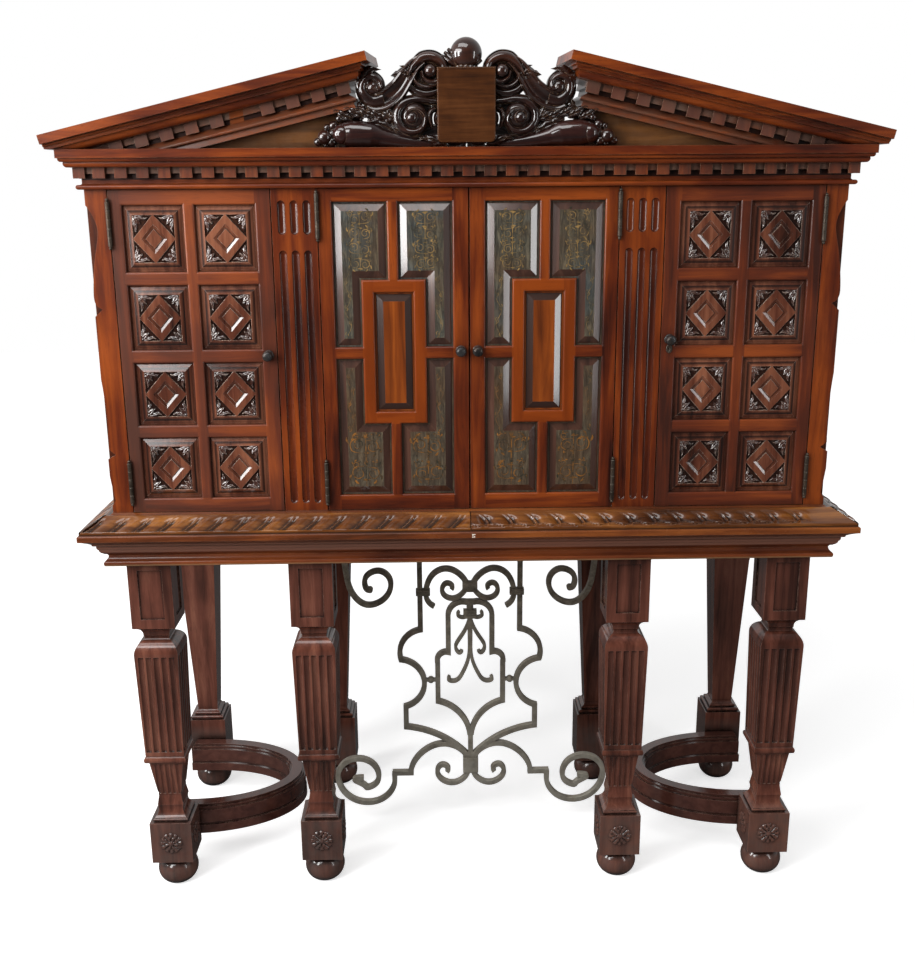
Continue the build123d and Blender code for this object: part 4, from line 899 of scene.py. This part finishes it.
def gild_doors():
    (x0, x1), (z0, z1) = centre_x, centre_z
    mid_x, mid_z, inset = (x0 + x1) / 2, (z0 + z1) / 2, 18.3 * MM
    half_frame = Vector((68 * MM, 154 * MM))
    upper, lower = Carving(), Carving()
    for sign, outer in ((1, x0), (-1, x1)):
        start = outer + sign * inset
        wide = sorted((start, mid_x - sign * (mullion_half + inset)))
        leg = sorted((start, mid_x - sign * (half_frame.x + inset)))
        scroll_column(upper, *wide, mid_z + half_frame.y + inset, z1 - inset, 4, 1.5 * MM)
        vine(upper, *leg, mid_z + rail_half + inset, mid_z + half_frame.y + inset, 1.1 * MM)
        scroll_column(lower, *wide, z0 + inset, mid_z - half_frame.y - inset, 2, 2.4 * MM)
        vine(lower, *leg, mid_z - half_frame.y - inset, mid_z - rail_half - inset, 0.9 * MM)
    for carving, name, look in ((upper, "upper_gilding", "gold"), (lower, "lower_gilding", "bronze")):
        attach(carving.make(f"door_3_{name}", looks[look]), "door_3")
        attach(carving.mirrored(0).make(f"door_2_{name}", looks[look]), "door_2")


# ---- pilaster flutes
flute_half, flute_depth, flute_pitch = 8 * MM, 4 * MM, 26 * MM
flute_runs = ((0.595, 0.664), (0.017, 0.563))  # bottom and top of each row, above the plinth


def flute(carving, x, low, high):
    """Round trough with ball ends, set in one cut of a pilaster."""
    rows = []
    turns = [low + flute_half * (1 - cos(pi * i / 16)) for i in range(9)]
    for z in turns + [high + low - z for z in reversed(turns)]:
        end = max(low + flute_half - z, z - high + flute_half, 0)
        half = max(flute_half**2 - end**2, 1e-9) ** 0.5
        row = []
        for j in range(13):
            across = -half * cos(pi * j / 12)
            deep = flute_depth * max(1 - (across**2 + end**2) / flute_half**2, 0) ** 0.5
            row.append((x + across, face_y + deep - 0.03 * MM, z))
        rows.append(row)
    carving.grid(rows)


def carve_flutes():
    for hand in ("left", "right"):
        low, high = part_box(f"pilaster_{hand}")
        troughs = Carving()
        for column in (-1, 0, 1):
            for bottom, top in flute_runs:
                flute(troughs, (low.x + high.x) / 2 + column * flute_pitch, low.z + bottom, low.z + top)
        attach(troughs.make(f"flutes_{hand}", looks["flutes"], 80), "cabinet")


# ---- rosettes of the legs
rosette_z = 123 * MM


def rosette():
    """Two rings of small petals round a button, facing -Y."""
    flower = Carving()
    rings, sides, radius = 20, 96, 27
    rows = []
    for i in range(rings + 1):
        r = radius * i / rings
        row = []
        for angle in full_turn(sides):
            outer = abs(cos(6 * angle)) ** 0.6
            inner = abs(sin(4 * angle)) ** 0.6
            lift = max(3.0 * outer * ease(13, 17, r) * (1 - ease(21 + 4 * outer, 26.5, r)),
                       3.6 * inner * ease(5, 9, r) * (1 - ease(12 + 3 * inner, 18, r)))
            button = 5.2 * max(0, 1 - (r / 7) ** 2) ** 0.5
            row.append((r * MM * cos(angle), -(lift + button - 0.6) * MM, r * MM * sin(angle)))
        rows.append(row)
    flower.grid(rows, wrap=True)
    flower.flip()
    return flower


def carve_rosettes():
    flower = rosette()
    for row in ("outer", "inner"):
        for hand in ("left", "right"):
            low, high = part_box(f"leg_front_{row}_{hand}")
            middle = (low + high) / 2
            faces = Carving()
            for turn, x, y in ((0, middle.x, low.y), (90, high.x, middle.y), (-90, low.x, middle.y)):
                place = Matrix.Translation((x, y, rosette_z)) @ Matrix.Rotation(radians(turn), 4, "Z")
                faces.add(flower.moved(place))
            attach(faces.make(f"rosettes_{row}_{hand}", looks["legs"], 50), "cabinet")


# ---- crest
# Right half, in mm; points are (x, z) from the crest's axis and crest_foot.
# bands: section, path, widths, depths, steps
crest_bands = (
    # arm that rises from the hook, and the upper volute it rolls over into
    (moulded_band, ((194, 115), (180, 111), (160, 117), (138, 134), (120, 158), (105, 178), (88, 191)),
     (36, 41, 42, 36, 30, 22), (24, 26, 28, 26), 60),
    (rolled_band, ((116, 162), (104, 180), (86, 194), (65, 195), (48, 184), (43, 166), (52, 152), (70, 148),
                   (84, 156), (88, 168)), (8, 20, 27, 27, 24, 21, 18, 14, 9), (28, 32, 34), 80),
    # rolls under the upper volute
    (rolled_band, ((119, 168), (116, 148), (102, 133), (81, 127), (60, 131), (46, 138)), (10, 18, 21, 20, 16),
     (18, 22, 22), 50),
    (rolled_band, ((106, 164), (102, 150), (90, 141), (75, 139), (60, 143)), (8, 14, 15, 12), (26, 28), 40),
    # hook at the far end
    (rolled_band, ((166, 117), (186, 113), (203, 124), (208, 141), (200, 155), (186, 159), (174, 151),
                   (171, 140), (177, 133), (184, 137)), (36, 34, 29, 26, 23, 18, 13), (27, 28, 29, 31), 60),
    # lower volute, and the ribs between it and the plaque
    (rolled_band, ((46, 111), (74, 113), (100, 116), (123, 110), (138, 94), (138, 72), (122, 56), (100, 54),
                   (86, 66), (84, 82), (96, 95), (112, 94), (121, 84), (116, 74)),
     (14, 16, 20, 25, 25, 22, 18, 14, 11, 8), (20, 24, 28, 31, 33, 34), 100),
    (rolled_band, ((62, 98), (72, 92), (75, 78), (69, 62)), (10, 14, 14, 8), (22, 28, 22), 30),
    (rolled_band, ((50, 95), (60, 86), (60, 72), (50, 64)), (6, 10, 10, 6), (18, 20, 18), 30),
    # foot rail, and the post and web that hold the parts together at the back
    (rolled_band, ((0, 35), (120, 35), (236, 34)), (23, 23), (11, 11), 10),
    (moulded_band, ((24, 24), (24, 100), (24, 175)), (50, 50), (12, 12), 8),
    (moulded_band, ((30, 52), (64, 53), (100, 46)), (36, 32, 22), (11, 11), 8),
)
# leaves: path, width, lobes, depth, lift, curl
crest_leaves = [
    # on the hook, and on the back of the arm
    (((206, 138), (201, 158), (187, 171), (168, 172)), 30, 1, 19, 10, 0),
    (((112, 162), (124, 166), (136, 164), (151, 160)), 20, 3, 16, 10, 4),
    (((104, 172), (114, 178), (123, 177), (133, 179)), 13, 2, 16, 8, 4),
    # between the arm and the lower volute
    (((172, 106), (158, 103), (146, 106), (138, 114)), 18, 3, 12, 11, 0),
    (((178, 100), (162, 94), (150, 84), (144, 68)), 26, 4, 10, 12, 0),
    (((160, 98), (152, 88), (152, 74)), 16, 3, 16, 9, 0),
    # down to the tail of the horn, and up from its mouth
    (((198, 72), (174, 69), (148, 57), (116, 45)), 28, 4, 12, 12, 0),
    (((150, 62), (128, 52), (104, 45), (80, 44)), 20, 3, 14, 10, 0),
    (((205, 95), (214, 106), (210, 118)), 14, 2, 12, 8, 0),
    # under the plaque's corner, and under the berries
    (((40, 30), (62, 36), (82, 41), (98, 38)), 20, 3, 20, 10, 0),
    (((234, 32), (250, 28), (268, 29), (290, 27)), 13, 3, 10, 8, 0),
]
# acanthus along the top of the horn
for x, rise in ((158, 0), (180, 4), (202, 8), (224, 8), (246, 3)):
    crest_leaves.append((((x - 16, 76 + rise), (x, 83 + rise), (x + 14, 91 + rise), (x + 25, 88 + rise)),
                         21, 3, 13, 12, 3))
# balls: x, how far the middle stands out, z, radius, flatness, sides
crest_balls = [
    (71.5, 30, 168.5, 12.5, 0.9, 18), (71, 4, 159, 40, 0.3, 28), (186, 14, 138, 16, 1.1, 18),
    (109, 28, 80, 12.5, 1.0, 18), (104, 16, 83, 27, 0.6, 18), (84, 2, 96, 16, 0.3, 24),
    (58, 3, 108, 17, 0.3, 24),
]
for x, z, radius in ((286, 44, 15), (268, 66, 10), (272, 35, 10), (281, 63, 7), (300, 35, 9), (256, 80, 8),
                     (270, 51, 9), (284, 29.5, 6)):
    crest_balls.append((x, 10 + radius / 2, z, radius, 1.0, 18))  # berries
horn_path = ((46, 29), (90, 31), (130, 35), (165, 41), (195, 48), (225, 50), (254, 50))
horn_radii = (3, 5, 8, 10.5, 12.5, 14.5, 17.5, 24.5, 25.8, 25.8, 21)


def metres(*sizes):
    return [size * MM for size in sizes]


def crest_place(x, out, z):
    return crest_x + x * MM, crest_back - out * MM, (crest_foot + z) * MM


def crest_points(points):
    return [(crest_x + x * MM, (crest_foot + z) * MM) for x, z in points]


def crest_half():
    """Right half of the crest, as two carvings: body and horn."""
    body, horn = Carving(), Carving()
    for section, path, widths, depths, steps in crest_bands:
        swept_band(body, crest_points(path), metres(*widths), metres(*depths), steps, section=section)
    for path, width, lobes, *relief in crest_leaves:
        leaf(body, crest_points(path), width * MM, lobes, *metres(*relief))
    for x, out, z, radius, flat, sides in crest_balls:
        ball(body, crest_place(x, out, z), radius * MM, flat, sides=sides)
    tube(horn, crest_points(horn_path), metres(*horn_radii), crest_back - 16 * MM, 0.78, 80, 28)
    ball(horn, crest_place(250.5, 18, 49.5), 20.5 * MM, 0.9, rings=14, sides=24)
    return body, horn


def carve_crest():
    body, horn = crest_half()
    for hand, parts in (("right", (body, horn)), ("left", (body.mirrored(crest_x), horn.mirrored(crest_x)))):
        for part, kind in zip(parts, ("crest", "horn")):
            piece = part.make(f"{kind}_carving_{hand}", looks[kind], 50)
            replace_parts(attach(piece, "cabinet"), f"crest_scroll_{hand}")


def carve_finial():
    """Ball in a calyx of ribbed leaves whose tips roll outwards."""
    low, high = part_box("finial")
    middle_y = (low.y + high.y) / 2
    finial = Carving()
    radius = 32 * MM
    tilts = [pi * i / 28 for i in range(1, 28)]
    lathe(finial, crest_x, middle_y, [(radius * sin(t), high.z - radius - radius * cos(t)) for t in tilts], 40)
    # the cup, from its foot over the rim and in under the ball
    cup = smooth_path([(26, 0), (23, 4), (22, 9), (24, 14), (28, 18), (30, 20), (28, 22), (20, 18)], 26)
    lathe(finial, crest_x, middle_y, [(p.x * MM, low.z + p.y * MM) for p in cup], 120, petals=12)
    # ribbed leaves that lean out at both sides, the left one larger
    for side, size in ((-1, 1), (1, 0.62)):
        for spread in (0, 0.5, 1):
            path = ((16, 1), ((24 + 8 * spread) * size, (22 - 12 * spread) * size),
                    ((36 + 14 * spread) * size, (36 - 12 * spread) * size))
            swept_band(finial, [(crest_x + side * x * MM, low.z + z * MM) for x, z in path],
                       metres(8, 12 * size, 12 * size, 6), metres(18, 21, 16), 20, middle_y + 8 * MM)
    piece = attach(finial.make("finial_carving", looks["crest"], 50), "cabinet")
    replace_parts(piece, "finial")


# ---- ironwork details
def iron_details():
    """Collars, rivets and a leaf, a little wider than the wrought bars."""
    low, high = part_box("iron_frame")
    front, back, middle = low.y, high.y, (low.x + high.x) / 2
    details = Carving()
    depth = back - front + 3 * MM
    # start and end of each collar as x from the middle and z, and its width, in mm
    for x0, z0, x1, z1, width in ((-137, 654, -101, 654, 17), (101, 654, 137, 654, 17), (-19, 668, 19, 668, 27),
                                  (-17, 594, 17, 594, 23), (0, 146, 0, 190, 40)):
        swept_band(details, [(middle + x * MM, z * MM) for x, z in ((x0, z0), (x1, z1))], metres(width, width),
                   [depth, depth], 4, back, collar_band)
    for side in (-1, 1):
        ball(details, (middle + side * 102 * MM, (front + back) / 2, 0.412), 9.5 * MM, 0.95)
    leaf(details, [(middle, 0.604), (middle, 0.616), (middle, 0.636)], 0.018, 1, 0.008, 0.007, back=back)
    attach(details.make("iron_details", looks["iron"]), "cabinet")


# ---- studio
white = (1, 1, 1, 1)
# name, place, target, size, watts
lamps = (
    ("left_box", (-2.9, -1.15, 1.95), (-0.3, -0.25, 1.3), (0.5, 1.5), 44),
    ("left_front_box", (-2.2, -2.35, 1.9), (0, -0.25, 1.3), (0.6, 1.3), 38),
    ("high_left_box", (-2.0, -1.9, 2.75), (0, -0.25, 1.4), (2.2, 0.8), 40),
    ("right_front_box", (2.4, -2.2, 1.6), (0.1, -0.25, 1.2), (0.3, 2.0), 15),
    ("ceiling_box", (-0.9, -2.0, 4.3), (0, -0.4, 1.0), (3.0, 1.3), 48),
)


def setup_lights():
    for name, place, target, size, watts in lamps:
        data = bpy.data.lights.new(name, "AREA")
        data.shape = "RECTANGLE"
        data.size, data.size_y = size
        data.energy = watts
        lamp = bpy.data.objects.new(name, data)
        lamp.location = place
        lamp.rotation_euler = (Vector(target) - Vector(place)).to_track_quat("-Z", "Y").to_euler()
        bpy.context.scene.collection.objects.link(lamp)


def setup_world():
    """White for the camera; else bright walls beside and behind, dim ones before the object."""
    world = bpy.data.worlds.new("world")
    bpy.context.scene.world = world
    world.use_nodes = True
    tree = Tree(world.node_tree)
    y = tree.node("SeparateXYZ", {0: tree.node("TexCoord", {}, "Generated")}, "Y")
    walls = tree.node("MapRange", {"Value": y, "From Min": -0.9, "From Max": 0.3, "To Min": 0.03,
                                   "To Max": 0.6})
    glossy, camera = (tree.node("LightPath", {}, ray) for ray in ("Is Glossy Ray", "Is Camera Ray"))
    unseen = tree.node("Mix", {0: glossy, 2: 0.24, 3: walls})
    sky = world.node_tree.nodes["Background"].inputs
    tree.put(tree.node("Mix", {0: camera, 2: unseen, 3: 1.0}), sky["Strength"])
    sky["Color"].default_value = white


def setup_floor():
    """Pale floor that glows for the camera, less near the object, to keep its shadow."""
    floor_piece = Carving()
    floor_piece.grid([[(-9, -7, 0), (-9, 9, 0)], [(9, -7, 0), (9, 9, 0)]])
    floor_piece.flip()
    look = Look("floor", roughness=0.6)
    camera, glossy = (look.node("LightPath", {}, ray) for ray in ("Is Camera Ray", "Is Glossy Ray"))
    away = look.node("VectorMath", {0: look.where}, "Value", operation="LENGTH")
    look.shader["Emission Color"].default_value = white
    look.put(camera * look.ramp(away / 10, (0.09, 0.62), (0.30, 0.85)), look.shader["Emission Strength"])
    shade = look.patches(1.5, 3, 0.55, (0.2, (0.86, 0.86, 0.865)), (0.8, (0.9, 0.9, 0.9)))
    unseen = look.mix(glossy, 0.32, 0.08)
    look.put(look.mix(camera, unseen, shade), look.shader["Base Color"])
    floor_piece.make("floor", look.material)


def setup_camera():
    """The photograph's viewpoint, as solved from its outlines."""
    focal, frame_height, sensor = 1097.06, 958, 36  # pixels, pixels, mm
    data = bpy.data.cameras.new("camera")
    data.lens = focal * sensor / frame_height
    data.sensor_width = sensor
    camera = bpy.data.objects.new("camera", data)
    bpy.context.scene.collection.objects.link(camera)
    yaw, pitch, roll = 0.0173974, -0.2590133, -0.0071546
    place = Matrix.Translation((-0.0679, -2.5856, 1.6426))
    for turn, axis in ((-yaw, "Z"), (pi / 2 + pitch, "X"), (roll, "Z")):
        place = place @ Matrix.Rotation(turn, 4, axis)
    camera.matrix_world = place
    bpy.context.scene.camera = camera


carve_plinth()
carve_lozenge_panels()
gild_doors()
carve_flutes()
carve_rosettes()
carve_crest()
carve_finial()
iron_details()
setup_world()
setup_lights()
setup_floor()
setup_camera()
bpy.context.scene.view_settings.view_transform = "Standard"
